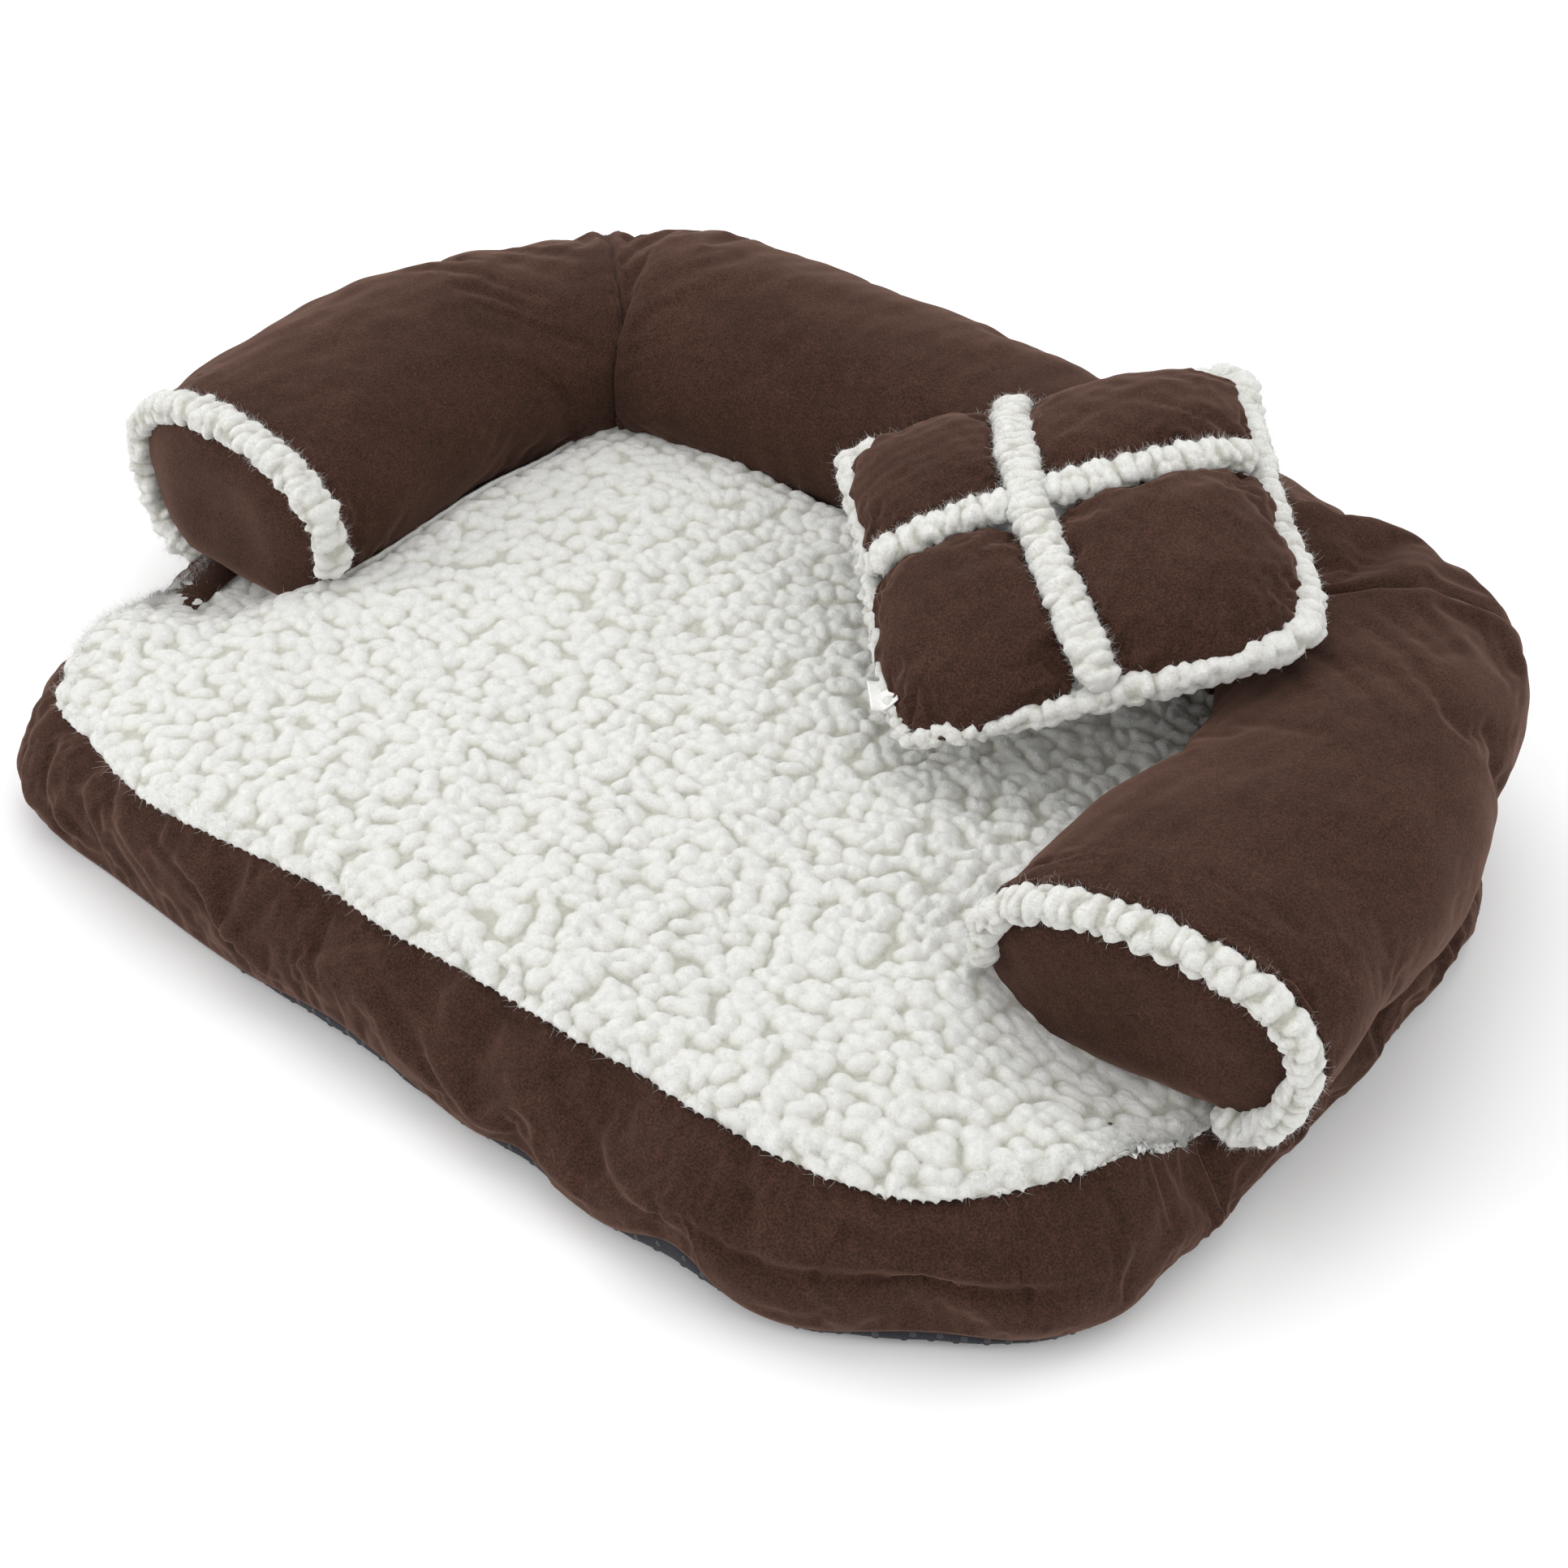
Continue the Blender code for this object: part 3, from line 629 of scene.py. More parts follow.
def boxing_creases(x, y, t, fine):
    """Folds pressed into the band: nested pinches at the left, long diagonals, a tuck at right."""
    belly = np.sin(math.pi * np.clip(t * 0.96 + 0.02, 0, 1)) ** 0.7
    front = smooth((-0.12 - y) / 0.05)
    push = 0.0006 * belly * waves(fine, 0.024, 21) + 0.001 * belly * waves(fine, 0.06, 22)
    # nested folds fanning down the left front corner: measured across the corner's bisector
    corner = smooth((-0.1 - x) / 0.03) * smooth((-0.09 - y) / 0.03)
    along = 0.74 * (x + 0.2) - 0.67 * (y + 0.17)
    for centre, slope, depth in ((-0.03, 0.01, 0.0016), (-0.013, 0.013, 0.0024),
                                 (0.003, 0.016, 0.0026), (0.019, 0.021, 0.0022),
                                 (0.038, 0.026, 0.0016)):
        line = along - centre - slope * (1 - t) ** 1.6
        push = push + corner * crease(smooth(t / 0.25) * (1 - 0.3 * t), line, 0.0036, depth)
    # long soft diagonals along the front
    for centre, slope, width, low, high, depth in (
            (-0.125, 0.06, 0.006, 0.1, 0.95, 0.0016), (-0.082, 0.085, 0.006, 0.05, 0.8, 0.0018),
            (-0.035, -0.07, 0.0055, 0.35, 1.0, 0.0013), (0.02, 0.09, 0.0065, 0.05, 0.85, 0.0016),
            (0.066, -0.055, 0.005, 0.3, 1.0, 0.001), (0.105, 0.09, 0.0065, 0.1, 0.8, 0.0018),
            (0.166, 0.03, 0.004, 0.4, 1.0, 0.0018)):
        fade = smooth((t - low) / 0.25) * smooth((high - t) / 0.25 + 0.4)
        line = x - centre + slope * (t - 0.5)
        push = push + front * crease(fade, line, width, depth)
    # the fold parallel to the hem round the right front corner
    reach = smooth((x - 0.135) / 0.03) * smooth((0.262 - x) / 0.03) * front
    push = push + crease(reach, t - 0.4 - 0.1 * np.sin((x - 0.14) * 26), 0.06, 0.003)
    level = t - 0.66 - 0.12 * np.sin((x - 0.16) * 30 + 1.0)
    return (push + crease(0.6 * reach, level, 0.05, 0.0016))[..., None]


def add_bottom_panel():
    """The non-skid cloth under the bed, turned up to the boxing's hem."""
    loop, _, out = rim_loops()
    count = len(loop)
    hem = hem_height(loop)
    rings = []
    for share in (0.02, 0.15, 0.3, 0.45, 0.6, 0.75, 0.88):
        rings.append(np.column_stack([loop * share, np.full(count, PANEL_Z)]))
    for inset, rise in ((0.02, 0.0), (0.014, 0.01), (0.0095, 0.05), (0.0062, 0.13),
                        (0.0038, 0.26), (0.0024, 0.44), (0.0018, 0.7), (0.0022, 1.0)):
        ring = loop - out * inset
        rings.append(np.column_stack([ring, PANEL_Z + (hem + 0.0012 - PANEL_Z) * rise]))
    grid = np.array(rings)
    creased = smooth(np.arange(len(rings)) / 4 - 1.5)[:, None]
    grid[..., :2] += (0.0005 * creased * waves(grid, 0.02, 14))[..., None] * out[None]
    middle = np.arange(count)[None, ::-1]
    panel = make_mesh("bottom_panel", grid, [quads(len(rings), count, TUBE)[:, ::-1], middle], GRIP)
    settle(backed(panel, 0.0008), "bed", "grip_fabric", "base_bottom_panel")
    return grid


def add_grip_dots(panel):
    """Moulded dots in staggered rows over the panel, each with its flat end down."""
    pitch, radius, rise = 0.011, 0.0013, 0.0006
    half, front, back = BASE_HALF - 0.028, BASE_FRONT + 0.026, BASE_BACK - 0.028
    spots = []
    for j in range(int((back - front) / (pitch * 0.87))):
        y = front + j * pitch * 0.87
        for i in range(-30, 31):
            x = (i + 0.5 * (j % 2)) * pitch
            over_x = max(abs(x) - (half - 0.1), 0)
            over_y = max(abs(y - 0.5 * (front + back)) - (0.5 * (back - front) - 0.1), 0)
            if math.hypot(over_x, over_y) < 0.08:
                spots.append((Vector((x, y, PANEL_Z)), Vector((0, 0, -1))))
    rim = panel[-5:]
    for ring in (1, 3):
        line = rim[ring]
        many = int(lengths(np.append(line, line[:1], 0))[-1] / pitch)
        for k in range(many):
            at = int((k + 0.5 * (ring == 3)) * len(line) / many) % len(line)
            p = Vector(line[at])
            side = Vector(line[(at + 1) % len(line)] - line[at - 1]).normalized()
            up = Vector(rim[ring + 1][at] - rim[ring - 1][at]).normalized()
            way = side.cross(up).normalized()
            spots.append((p - way * 0.0003, way))
    profile = ((1.0, -0.0004), (0.95, rise * 0.55), (0.6, rise))
    dot = np.array([[(radius * reach * math.cos(a), -radius * reach * math.sin(a), height)
                     for a in circle(8)] for reach, height in profile])
    dots = [dot @ np.array(way.to_track_quat("Z", "X").to_matrix()).T + spot for spot, way in spots]
    settle(tubes("grip_dots", np.array(dots), GRIP_DOT), "bed", "grip_fabric")


def distance_to(points, line):
    """Distance from a grid of plan points to the nearest point of a line, and which that is."""
    far, which = np.empty(points.shape[:-1]), np.empty(points.shape[:-1], int)
    for k, row in enumerate(points):
        gaps = np.hypot(row[:, None, 0] - line[None, :, 0], row[:, None, 1] - line[None, :, 1])
        which[k] = gaps.argmin(1)
        far[k] = gaps.min(1)
    return far, which


def mattress_height(x, y):
    """Backing height of the fleece: a soft crown, pressed down in front of the arms' ends."""
    plan = np.stack([x, y], -1)
    near_arms = smooth((y + 0.13) / 0.055)
    right = 0.019 * smooth((x - 0.15) / 0.07)
    left = 0.025 * smooth((-x - 0.15) / 0.062)
    return (MATTRESS_Z + 0.002 * waves(plan, 0.12, 31) + 0.001 * waves(plan, 0.05, 32)
            - near_arms * (right + left))


def sherpa_plan(step):
    """The fleece's plan: an apron between the front seam and the arms' ends, then the well."""
    seam = rim_loops()[1]
    front = np.roll(seam, len(seam) // 2, 0)
    sides = front[front[:, 1] < APRON_BACK]
    front = front[front[:, 1] < APRON_CORNER]
    columns = int(lengths(front)[-1] / step)
    front = evened(front, columns)
    left, right = sides[0, 0], sides[-1, 0]
    share = np.linspace(0, 1, columns)
    back = np.column_stack([left + (right - left) * share, np.full(columns, APRON_BACK)])
    apron_rows = int((APRON_BACK - front[:, 1].min()) / step)
    t = np.linspace(0, 1, apron_rows)[:, None, None]
    apron = front[None] * (1 - t) + back[None] * t
    well_rows = int((WELL_BACK - APRON_BACK) / step)
    y = APRON_BACK + (WELL_BACK - APRON_BACK) * np.arange(1, well_rows + 1) / well_rows
    well = np.stack(np.broadcast_arrays(back[None, :, 0], y[:, None]), -1)
    inside = np.ones(apron.shape[:2], bool)
    inside = np.concatenate([inside, np.abs(well[..., 0]) <= WELL_HALF + step])
    keep = inside[:-1, :-1] & inside[1:, :-1] & inside[:-1, 1:] & inside[1:, 1:]
    return np.concatenate([apron, well]), apron_rows, evened(sides, 2 * columns), keep


def add_sherpa_top():
    """The fleece on the mattress: a T-shaped grid of curls, rolled down at the front seam."""
    plan, apron_rows, edge, keep = sherpa_plan(0.00085)
    x, y = plan[..., 0], plan[..., 1]
    behind = (np.arange(len(plan)) >= apron_rows)[:, None] & np.ones(x.shape, bool)
    to_seam = np.full(x.shape, 1.0)
    seam_z = np.full(x.shape, FRONT_SEAM_Z)
    far, which = distance_to(plan[:apron_rows], edge)
    to_seam[:apron_rows] = far
    seam_z[:apron_rows] = seam_height(edge[which, 0], edge[which, 1])
    gap_well = np.minimum(WELL_HALF - np.abs(x), WELL_BACK - y)
    cap_y = np.where(x > 0, RIGHT_END_Y + 0.12 * (x - STATIONS[0][0]), LEFT_END_Y)
    gap_cap = np.where(np.abs(x) > WELL_HALF, cap_y - y, 1.0)
    to_bolster = np.clip(np.where(behind, gap_well, gap_cap), 0, None)

    z = mattress_height(x, y)
    width = 0.022 + 0.9 * (FRONT_SEAM_Z - seam_z)
    roll = shoulder(to_seam, width, 2.4)
    z = z - (z - (seam_z - 0.0005)) * roll
    z = z - 0.006 * shoulder(to_bolster, 0.014, 2) * (np.abs(x) <= WELL_HALF)
    base = np.stack([x, y, z], -1)
    n = -normals_of(base)
    upright = (smooth((y + 0.105) / 0.02) * smooth((np.abs(x) - 0.17) / 0.03))[..., None]
    n = n * (1 - 0.8 * upright) + 0.8 * upright * np.array([0, 0, 1.0])
    flat = plan + 0.004 * n[..., :2] * roll[..., None]
    height = curls(flat, 0.007, 41)
    small = curls(flat + 0.7, 0.0036, 45)
    rough = waves(flat, 0.09, 43) * 0.15
    fade = (0.5 + 0.5 * smooth(to_bolster / 0.006)) * (0.68 + 0.32 * smooth((x + 0.12) / 0.2))
    push = (0.003 * (1 + rough) * height + 0.0006 * small + 0.0002 * grain(flat, 0.0018)) * fade
    grid = base + n * push[..., None]
    faces = quads(len(x), x.shape[1], keep=keep)[:, ::-1]
    piece = make_mesh("sherpa_top", grid, [faces], SHERPA, height)
    settle(backed(piece, 0.0012), "bed", "sherpa", "sherpa_top_panel", padded=0.5)
    fuzz("sherpa_edge_fibres", grid, n, to_seam < 0.006, 6000, 0.0028, 47, "bed")
    open_top = (to_bolster > 0.004) & (to_seam > 0.004)
    fuzz("sherpa_top_fibres", grid, n, open_top, 5000, 0.0022, 48, "bed")


# ---- the bolster ----
def oval(angle, width, top, square=0.0):
    """Across and height of the sleeve's section: an oval on a flat foot, squarer below."""
    c, s = np.cos(angle), np.sin(angle)
    across = np.sign(c) * np.abs(c) ** (0.9 - square * smooth(-2 * s)) * width
    up = np.sign(s) * np.abs(s) ** 0.9
    reach = np.where(up > 0, top - BOLSTER_MID, BOLSTER_MID - BOLSTER_FOOT + 0.002)
    return across, np.maximum(BOLSTER_MID + reach * up, BOLSTER_FOOT)


def bolster_grid(per_span, sides):
    rows = spline_rows(np.array(STATIONS), per_span)
    a = circle(sides)[None, :]
    direction = unit(rows[:, 3:5])
    end = np.minimum(np.arange(len(rows)), len(rows) - 1 - np.arange(len(rows)))
    across, z = oval(a, rows[:, 2:3], rows[:, 5:6], END_SQUARE * np.exp(-(end / 9) ** 2)[:, None])
    plan = rows[:, None, :2] + direction[:, None, :] * across[..., None]
    return np.concatenate([plan, z[..., None]], -1)


def add_bolster():
    """Three suede sleeves, inflated as one tube that is sewn at its ends, mitres and foot."""
    per_span, sides = 11, 76
    grid = bolster_grid(per_span, sides)
    rows = len(grid)
    first, second = (station * per_span for station in MITRES)
    foot = grid[..., 2] <= BOLSTER_FOOT + 0.0004
    pins = np.where(foot, 1.0, 0.0)
    pins[[0, -1, first, second]] = 1.0
    middle = grid.mean(1, keepdims=True)
    for ring in (first, second):
        grid[ring] += (middle[ring] - grid[ring]) * 0.035 * (~foot[ring])[:, None]
    grid = inflate(grid, TUBE, pins, 2.2, 0.018, 18, 0.006)
    fine = refine(grid, FINER, TUBE)
    n = normals_of(fine, TUBE)
    if np.mean(np.sum(n * (fine - fine.mean(1, keepdims=True)), -1)) < 0:
        n = -n
    ring_at = np.arange(len(fine)) / FINER
    near_end = np.minimum(ring_at, rows - 1 - ring_at) * 0.0043
    near_seam = np.minimum(np.abs(ring_at - first), np.abs(ring_at - second)) * 0.0043
    angle = circle(fine.shape[1])[None, :]
    gather = np.sin(angle * 17 + 2.6 * np.sin(angle * 3 + 1)) * (0.5 + 0.5 * np.sin(angle * 5 + 2))
    pucker = 0.0012 * np.exp(-(near_end / 0.02) ** 2)[:, None] * gather
    pucker = pucker + 0.0004 * np.exp(-(near_seam / 0.012) ** 2)[:, None] * gather
    push = pucker + 0.0009 * waves(fine, 0.045, 51) + 0.0004 * waves(fine, 0.017, 52)
    fine = fine + n * push[..., None]
    cuts = (0, first * FINER, second * FINER, len(fine) - 1)
    for word, start, end in zip(SLEEVES, cuts, cuts[1:]):
        part = fine[start:end + 1]
        piece = grid_piece(word + "_sleeve", part, SUEDE, TUBE)
        if np.mean(np.sum(normals_of(part, TUBE) * n[start:end + 1], -1)) < 0:
            piece.data.flip_normals()
        settle(backed(piece, 0.0012), "bed", "suede", word + "_cover", padded=0.8)
    return fine, n, cuts


def add_bolster_fillings(fine, cuts):
    """Closed stuffing inside each sleeve: every fourth ring of it, shrunk, with capped ends."""
    for word, start, end in zip(SLEEVES, cuts, cuts[1:]):
        part = fine[start + 9:end - 8:4, ::4]
        inner = part + 0.0032 * unit(part.mean(1, keepdims=True) - part)
        settle(tubes(word + "_stuffing", inner[None], FILLING), "bed", "stuffing", word + "_fill")


def arm_end(side):
    """The arm's front plane: centre, half width, top, outward and forward directions."""
    x, y, width, nx, ny, top = STATIONS[0 if side > 0 else -1]
    out = np.array([nx, ny, 0.0]) / math.hypot(nx, ny)
    forward = np.array([side * out[1], -abs(out[0]), 0.0])
    return np.array([x, y, 0.0]), width, top, out, forward


def end_ring(side, shrink, ahead, count, start=0.0, turn=math.tau):
    centre, width, top, out, forward = arm_end(side)
    a = start + turn * np.linspace(0, 1, count)
    across, z = oval(a, width - shrink, top - shrink, END_SQUARE)
    z = np.maximum(z, BOLSTER_FOOT + shrink)
    return centre + across[:, None] * out + ahead * forward + z[:, None] * np.array([0, 0, 1.0])


def add_end_cap(side, word):
    """A suede oval, a little domed, that closes the arm."""
    rings, columns = 30, 132
    forward = arm_end(side)[4]
    edge = end_ring(side, 0.0026 if side > 0 else 0.0012, 0.0, columns + 1)[:-1]
    centre = edge.mean(0)
    t = np.linspace(0, 0.998, rings)[:, None, None]
    rise = np.sin(math.pi / 2 * np.clip(t * 2.0, 0, 1)) ** 0.75
    grid = edge[None] * (1 - t) + centre * t + forward * (-0.0015 + 0.0095 * rise)
    crumple = waves(grid, 0.03, 62 + side) * 0.001 + waves(grid, 0.014, 64 + side) * 0.0004
    grid = grid + crumple[..., None] * forward
    last = np.arange((rings - 1) * columns, rings * columns)[None]
    piece = make_mesh(word + "_arm_cap", grid, [quads(rings, columns, TUBE), last], SUEDE)
    if side < 0:
        piece.data.flip_normals()
    settle(backed(piece, SUEDE_THICK), "bed", "suede", word + "_end_cap", padded=0.7)


def tufted_rope(name, line, normal, size, cell, seed, body, node, closed=False, scale=1.0):
    """A fluffy strip: a fat tube along a line, its skin pushed out into curls."""
    count, sides = len(line), 40
    slope = (np.roll(line, -1, 0) - np.roll(line, 1, 0)) if closed else np.gradient(line, axis=0)
    tangent = unit(slope)
    normal = unit(normal - tangent * np.sum(normal * tangent, 1, keepdims=True))
    side = np.cross(tangent, normal)
    a = circle(sides)
    along = lengths(line)
    ends = np.sqrt(np.clip(np.minimum(along, along[-1] - along) / 0.006, 0.02, 1))
    ease = np.ones(count) if closed else ends
    taper = scale * ease
    wide, high = size
    around_length = np.pi * (wide + high) * np.mean(scale)
    ring = (side[:, None, :] * (np.cos(a) * wide)[None, :, None]
            + normal[:, None, :] * (np.sin(a) * high)[None, :, None])
    base = line[:, None, :] + ring * taper[:, None, None]
    closed_axes = (closed, True)
    n = normals_of(base, closed_axes)
    if np.mean(np.sum(n * ring, -1)) < 0:
        n = -n
    wrap = TUFT_STRETCH * around_length
    around = a / math.tau * wrap
    uv = np.stack(np.broadcast_arrays(along[:, None], around[None, :]), -1)
    height = curls(uv, cell, seed, 0.66)
    other = curls(uv - (0, wrap), cell, seed, 0.66)
    fade = smooth(around / wrap)[None, :]
    height = height * (1 - fade) + other * fade
    flank = np.abs(np.cos(a))[None, :]
    ragged = 0.3 * flank * np.clip(waves(base, 0.0075, seed + 9), -0.6, 1.4)
    push = (cell * (0.55 + ragged) * height + 0.00035 * grain(base, 0.0016)) * ease[:, None]
    grid = base + n * push[..., None]
    faces = [quads(count, sides, closed_axes)]
    if not closed:
        ring = np.arange(sides)
        faces.append(np.array([ring[::-1], ring + (count - 1) * sides]))
    piece = make_mesh(name, grid, faces, SHERPA, height)
    settle(piece, body, "sherpa", *([node] if node else []))
    upper = (0.35 + flank) * (np.sin(a) > -0.3)[None, :] * ease[:, None]
    fibres = min(int(FIBRES_PER_METRE * along[-1]), MOST_FIBRES)
    fuzz(name + "_fibres", grid, n, upper, fibres, 0.0019, seed + 5, body)


def add_end_trim(side, word):
    """The fluffy strip round an arm's end, from the mattress over the top and under the side."""
    turn = math.radians(-268)
    inset, ahead = (0.004, 0.0045) if side > 0 else (-0.0012, 0.0)
    line = evened(end_ring(side, inset, ahead, 400, math.radians(194), turn), 300)
    tufted_rope(word + "_arm_trim", line, line - line.mean(0), (0.006, 0.004), 0.0044, 72 + side,
                "bed", word + "_end_trim")


# ---- the pillow ----
def pillow_frame():
    turn = Matrix.Identity(4)
    for axis, angle in PILLOW_TURNS:
        turn = turn @ Matrix.Rotation(math.radians(angle), 4, axis)
    return Matrix.Translation(PILLOW_CENTRE) @ turn


def placed(grid):
    """Points of the pillow's own frame, put where the pillow lies."""
    m = np.array(pillow_frame())
    return grid @ m[:3, :3].T + m[:3, 3]


def square_grid(line):
    return np.meshgrid(line, line, indexing="ij")


def pillow_skin(u, v, side):
    half = PILLOW_SIZE / 2
    corner = (u * v) ** 4 * np.where(v < 0, 0.085, 0.035)
    x = half * u * (1 - np.where(u > 0, 0.035, 0.02) * (1 - v * v) - corner)
    y = half * v * (1 - np.where(v > 0, 0.01, PILLOW_BULGE) * (1 - u * u) - corner)
    swell = np.sqrt(np.clip((1 - u * u) * (1 - v * v), 0, None))
    crown = PILLOW_CROWN if side > 0 else PILLOW_BELLY
    z = PILLOW_EDGE * 0.3 + (crown - PILLOW_EDGE) * swell
    return np.stack([x, y, side * z - PILLOW_SAG * np.clip(-(u + v) / 2, 0, None) ** 2], -1)


def bent(u, v):
    """Where the straps' cross and its arms really lie: it is sewn off centre and a little askew."""
    shift_u = -0.17 + 0.1 * v * v - 0.05 * v
    shift_v = 0.2 * np.clip(u, 0, None) ** 1.5
    return (u + shift_u * np.clip(1 - u * u, 0, None), v + shift_v * np.clip(1 - v * v, 0, None))


def patch_plan(a, b, sign_u, sign_v):
    """Rounded-square plan of one patch, in shares of half the pillow: a and b from -1 to 1."""
    inner, outer = STRAP_HALF * 0.8 / (PILLOW_SIZE / 2), 1.02
    reach = np.maximum(np.abs(a), np.abs(b))
    angle = np.arctan2(b, a)
    square = 1 / np.maximum(np.abs(np.cos(angle)), np.abs(np.sin(angle)))
    power = 4.6
    soft = (np.abs(np.cos(angle)) ** power + np.abs(np.sin(angle)) ** power) ** (-1 / power)
    pull = 1 - (1 - soft / square) * reach ** 3
    centre, half = (outer + inner) / 2, (outer - inner) / 2
    return bent(sign_u * centre + half * a * pull, sign_v * centre + half * b * pull)


def add_pillow():
    """Four suede patches, each puffed up on its own inside its seams."""
    count = 37
    a, b = square_grid(np.sin(math.pi / 2 * np.linspace(-1, 1, count)))
    pins = np.where(np.maximum(np.abs(a), np.abs(b)) >= 1, 1.0, 0.0)
    for word_v, sign_v in (("upper", 1), ("lower", -1)):
        for word_u, sign_u in (("left", -1), ("right", 1)):
            u, v = patch_plan(a, b, sign_u, sign_v)
            top = pillow_skin(u, v, 1)
            puff = np.clip((1 - a * a) * (1 - b * b), 0, None)
            top[..., 2] += 0.01 * puff ** 0.32 - 0.004
            top = inflate(top, (False, False), pins, 3.0, 0.045, 16, 0.006)
            fine = refine(top, 4)
            fa, fb = square_grid(np.sin(math.pi / 2 * np.linspace(-1, 1, len(fine))))
            rim = np.minimum(1 - np.abs(fa), 1 - np.abs(fb))
            seed = 81 + sign_u + 3 * sign_v
            along = np.where(np.abs(fa) > np.abs(fb), fb, fa) * 0.034
            pucker = np.exp(-(rim / 0.16) ** 2) * np.sin(along * 420 + 2.5 * waves(fine, 0.03, seed))
            push = 0.0006 * waves(fine, 0.022, seed) + 0.00035 * waves(fine, 0.01, seed + 20)
            push = push + 0.00055 * pucker * smooth(rim / 0.05)
            fine = fine + normals_of(fine) * push[..., None]
            word = "pillow_patch_%s_%s" % (word_v, word_u)
            piece = grid_piece(word + "_suede", placed(fine), SUEDE)
            settle(backed(piece, SUEDE_THICK), "pillow", "suede", word, padded=0.7)


def strap_line(u, v):
    line = pillow_skin(*bent(u, v), 1)
    line[:, 2] += 0.0012
    return placed(line)


def add_pillow_straps():
    """The crossing fleece straps, sunk between the patches."""
    up = np.array(pillow_frame())[:3, 2]
    t = np.linspace(-1.0, 0.98, 300)
    long_line = evened(strap_line(0 * t, t), 220)
    tufted_rope("pillow_strap_long_fleece", long_line, up, (STRAP_HALF, 0.0034), 0.004, 91,
                "pillow", "pillow_strap_long")
    for word, sign in (("left", -1), ("right", 1)):
        t = np.linspace(sign * 0.05, sign * 0.98, 160)
        cross = evened(strap_line(t, 0 * t), 115)
        tufted_rope("pillow_strap_%s_fleece" % word, cross, up, (0.006, 0.0034), 0.004, 95 + sign,
                    "pillow", "pillow_strap_" + word)


# Corners at 0, 1, 2, 3: front left, front right, back right, back left.
EDGE_TURNS = (0.0, 0.25, 0.6, 0.95, 1.1, 1.5, 1.85, 2.0, 2.15, 2.6, 2.9, 3.05, 3.3, 3.8, 4.0)
EDGE_ROLLS = (0.003, 0.0032, 0.005, 0.0062, 0.0058, 0.0036, 0.006, 0.0075, 0.0045, 0.0034, 0.0045,
              0.0056, 0.003, 0.0026, 0.003)


def add_pillow_back():
    """The fleece back and the ragged edge of it that shows all round the patches."""
    count = 150
    u, v = square_grid(np.linspace(-1, 1, count))
    back = pillow_skin(u, v, -1)
    n = -normals_of(back)
    height = curls(back[..., :2] + 0.3, 0.0068, 101)
    edge = 1 - np.maximum(np.abs(u), np.abs(v))
    push = 0.0024 * height * smooth(edge / 0.03)
    world = placed(back + n * push[..., None])
    faces = quads(count, count)[:, ::-1]
    piece = make_mesh("pillow_fleece_back", world, [faces], SHERPA, height)
    settle(backed(piece, 0.001), "pillow", "sherpa", "pillow_sherpa_back", padded=0.7)

    # the fleece edge: size of its roll round the pillow, starting at the front corner
    side = np.linspace(-1, 1, 90)[:-1]
    ones = np.ones_like(side)
    loop_u = np.concatenate([side, ones, -side, -ones])
    loop_v = np.concatenate([-ones, side, ones, -side])
    turn = np.linspace(0, 4, len(loop_u), endpoint=False)
    roll = np.interp(turn, EDGE_TURNS, EDGE_ROLLS)
    rim = pillow_skin(loop_u * 0.985, loop_v * 0.985, 1)
    rim[:, 2] -= 0.0052
    ring = placed(rim)
    up = np.array(pillow_frame())[:3, 2]
    tufted_rope("pillow_fleece_edge", ring, up, (1.0, 0.75), 0.0042, 105, "pillow", None, True, roll)


def add_pillow_filling():
    count = 26
    u, v = square_grid(np.linspace(-0.93, 0.93, count))
    top, low = pillow_skin(u, v, 1), pillow_skin(u, v, -1)
    top[..., 2] -= 0.0075
    low[..., 2] += 0.0022
    top[..., 2] = np.maximum(top[..., 2], low[..., 2] + 0.0006)
    points = np.concatenate([placed(top).reshape(-1, 3), placed(low).reshape(-1, 3)])
    size = count * count
    place = np.arange(size).reshape(count, count)
    border = [*place[0], *place[1:, -1], *place[-1, -2::-1], *place[-2:0:-1, 0]]
    walls = [(a, a + size, b + size, b) for a, b in zip(border, border[1:] + border[:1])]
    faces = [quads(count, count), quads(count, count)[:, ::-1] + size, np.array(walls)[:, ::-1]]
    piece = make_mesh("pillow_stuffing", points, faces, FILLING)
    settle(piece, "pillow", "stuffing", "pillow_fill")


def add_pillow_tag():
    """A small blank label folded over in the pillow's seam."""
    rows, columns = 14, 8
    s = np.linspace(0, 1, rows)[:, None] * np.ones((1, columns))
    w = np.linspace(-0.5, 0.5, columns)[None, :] * np.ones((rows, 1))
    half = PILLOW_SIZE / 2
    x = -half * 0.93 - 0.01 * s
    y = -half * 0.7 + 0.014 * w
    z = -0.0075 - 0.0025 * np.sin(s * 2.6) + 0.0006 * np.sin(w * 9 + s * 4)
    grid = placed(np.stack([x, y, z], -1))
    piece = grid_piece("pillow_blank_tag", grid, TAG)
    settle(backed(piece, 0.0004), "pillow", "tag", "pillow_tag")


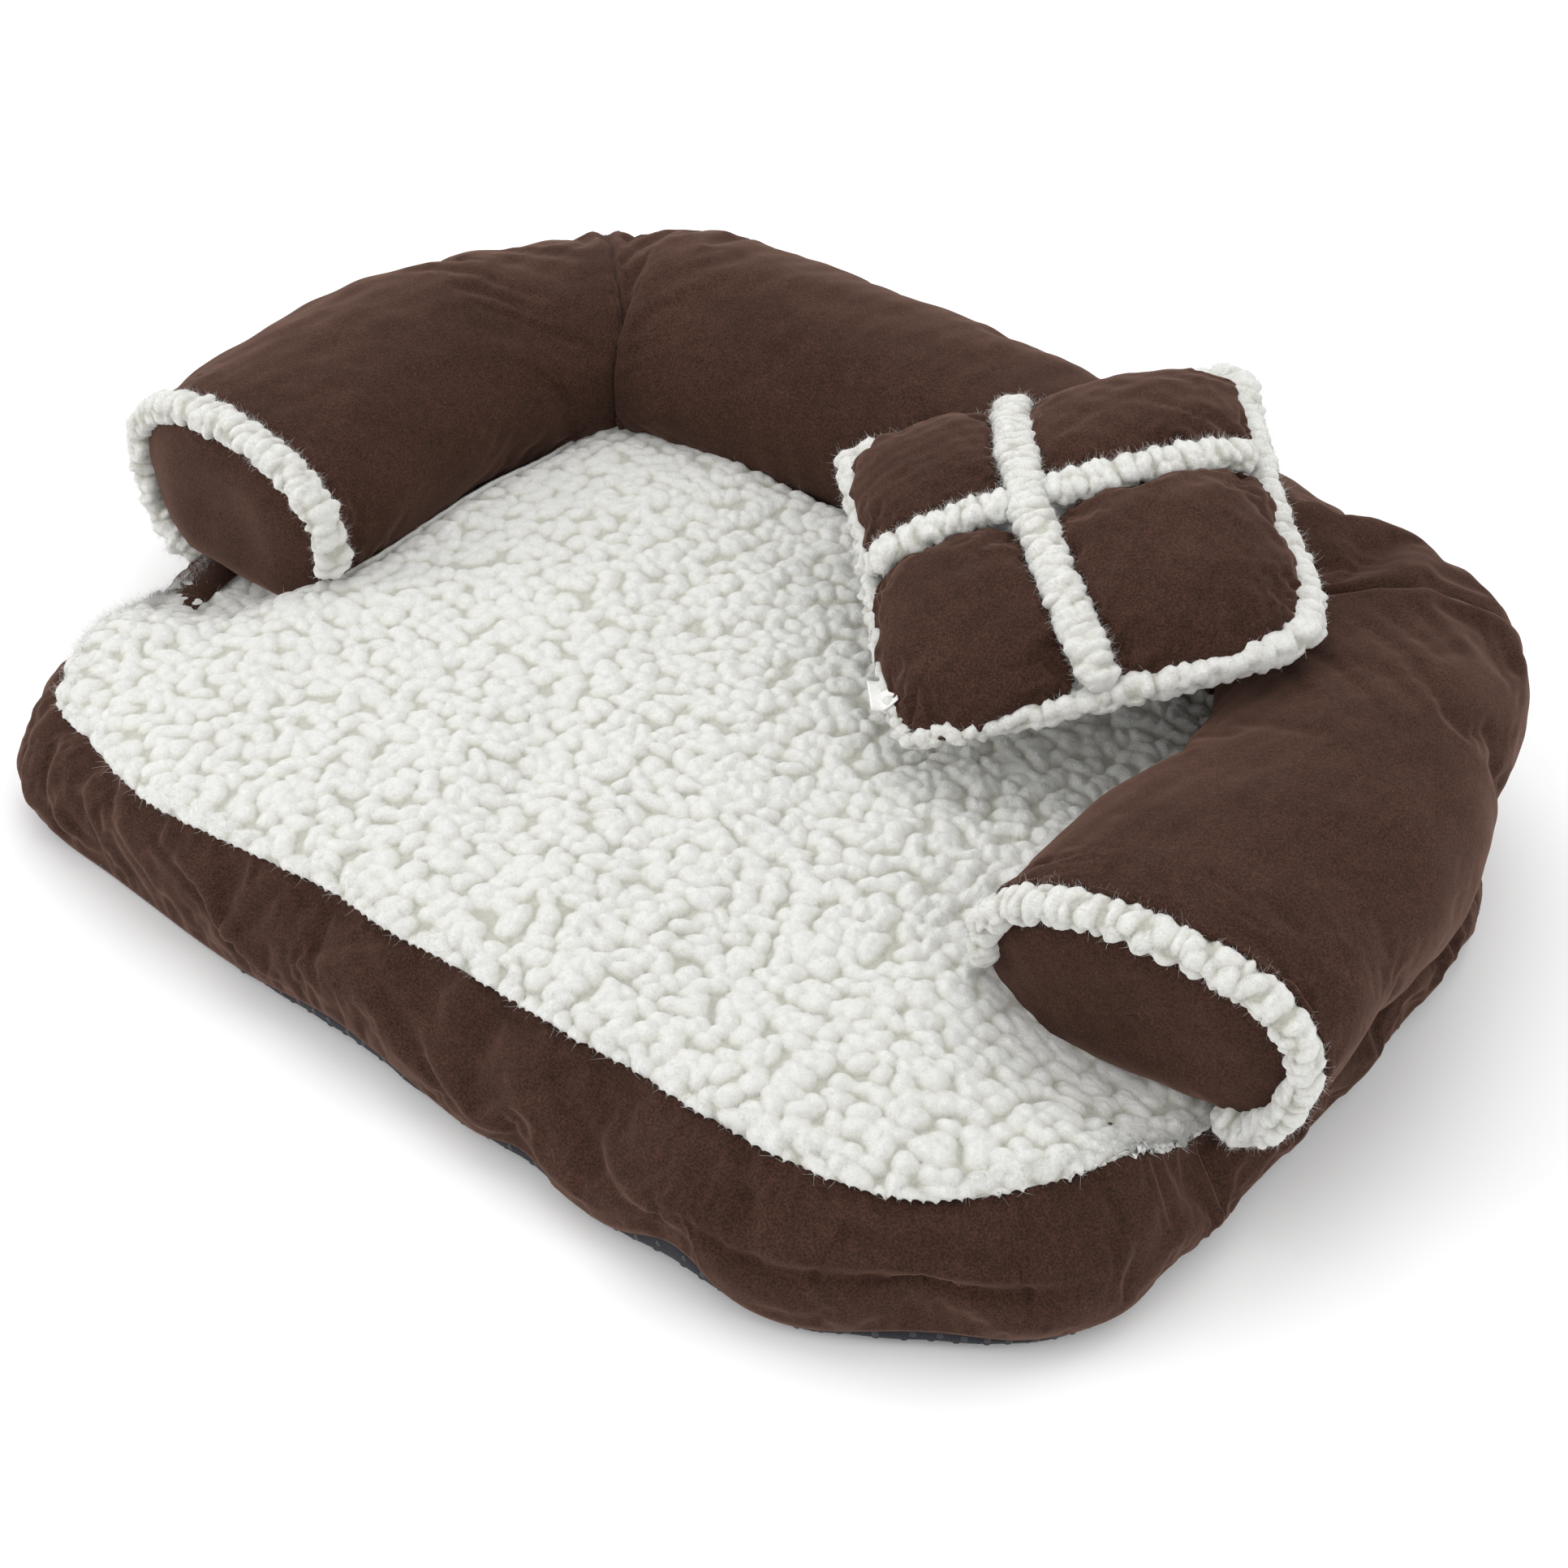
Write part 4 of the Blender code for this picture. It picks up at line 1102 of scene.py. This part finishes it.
# ---- seams ----
def add_stitches(name, line, normal, body):
    """A row of short thread stitches along a seam."""
    length, pitch, radius, steps = 0.0026, 0.0036, 0.00028, 8
    count = int(lengths(line)[-1] / pitch)
    path = evened(np.hstack([line, normal]), count * steps + 1)
    rows = np.arange(1 + int(steps * length / pitch))
    blocks = path[steps * np.arange(count)[:, None] + rows]
    spot, up = blocks[..., :3], unit(blocks[..., 3:])
    side = np.cross(unit(np.gradient(spot, axis=1)), up)
    t = (rows / rows[-1])[None, :, None]
    centre = spot + up * (0.0004 * np.sin(math.pi * t) - 0.0001)
    thick = radius * (0.35 + 0.65 * np.sin(math.pi * np.clip(t, 0.04, 0.96)))
    settle(tubes(name, rings_round(centre, thick, side, up, 6), THREAD), body, "suede")


def add_mitre_stitches(fine, n, cuts):
    sides = fine.shape[1]
    for word, ring in (("right", cuts[1]), ("left", cuts[2])):
        span = [k % sides for k in range(-int(sides * 0.06), int(sides * 0.56))]
        add_stitches(word + "_corner_stitches", fine[ring][span], n[ring][span], "bed")


def add_mattress_filling():
    """Closed stuffing under the fleece and inside the boxing."""
    loop, _, out = rim_loops()
    loop, out = loop[::4], out[::4]
    levels = ((0.026, 0.0024), (0.018, 0.012),
              (0.018, REAR_SEAM_Z - 0.006), (0.026, REAR_SEAM_Z - 0.003))
    rings = [np.column_stack([loop - out * inset, np.full(len(loop), z)]) for inset, z in levels]
    piece = tubes("mattress_stuffing", np.array([rings]), FILLING)
    settle(piece, "bed", "stuffing", "mattress_fill")


# ---- the studio ----
def add_studio():
    scene = bpy.context.scene
    mesh = bpy.data.meshes.new("floor")
    mesh.from_pydata([(-6, -6, 0), (6, -6, 0), (6, 6, 0), (-6, 6, 0)], [], [(0, 1, 2, 3)])
    floor = stand("floor", mesh)
    pale = Shader("pale_floor", 0.9, 0.1, 0.0, 0.5, (1, 1, 1))
    colour = pale.ramp(pale.noise(3), ((0.0, (0.93, 0.93, 0.93)), (1.0, (0.95, 0.95, 0.95))))
    mesh.materials.append(pale.done(colour, pale.bump(pale.noise(40), 0.0001, 0.1)))

    world = bpy.data.worlds.new("studio")
    scene.world = world
    world.use_nodes = True
    sky = world.node_tree.nodes["Background"].inputs
    sky["Color"].default_value = (1, 1, 1, 1)
    sky["Strength"].default_value = 0.92
    lights = (("overhead", (-0.25, 0.45, 1.7), 1.6, 9.0), ("front_left", (-1.2, -1.5, 0.8), 1.2, 13.0),
              ("right_side", (1.5, -0.2, 1.0), 1.0, 4.0))
    for name, place, size, power in lights:
        light = bpy.data.lights.new(name, "AREA")
        light.shape = "DISK"
        light.size = size
        light.energy = power
        lamp = stand(name, light)
        lamp.location = place
        lamp.rotation_mode = "QUATERNION"
        lamp.rotation_quaternion = (Vector((0, 0, 0.04)) - Vector(place)).to_track_quat("-Z", "Y")
    scene.view_settings.view_transform = "Standard"

    camera = bpy.data.cameras.new("camera")
    camera.sensor_width = 36.0
    camera.lens = 62.43
    eye = stand("camera", camera)
    azimuth, elevation = math.radians(39.09), math.radians(39.53)
    forward = Vector((-math.sin(azimuth) * math.cos(elevation),
                      math.cos(azimuth) * math.cos(elevation), -math.sin(elevation)))
    eye.location = (0.5128, -0.6099, 0.6572)
    eye.rotation_mode = "QUATERNION"
    eye.rotation_quaternion = forward.to_track_quat("-Z", "Y")
    scene.camera = eye


add_studio()
add_boxing()
panel_grid = add_bottom_panel()
add_grip_dots(panel_grid)
add_mattress_filling()
add_sherpa_top()
sleeve, sleeve_normals, sleeve_cuts = add_bolster()
add_bolster_fillings(sleeve, sleeve_cuts)
add_mitre_stitches(sleeve, sleeve_normals, sleeve_cuts)
for arm_side, arm_word in ((1, "right"), (-1, "left")):
    add_end_cap(arm_side, arm_word)
    add_end_trim(arm_side, arm_word)
add_pillow()
add_pillow_straps()
add_pillow_back()
add_pillow_filling()
add_pillow_tag()
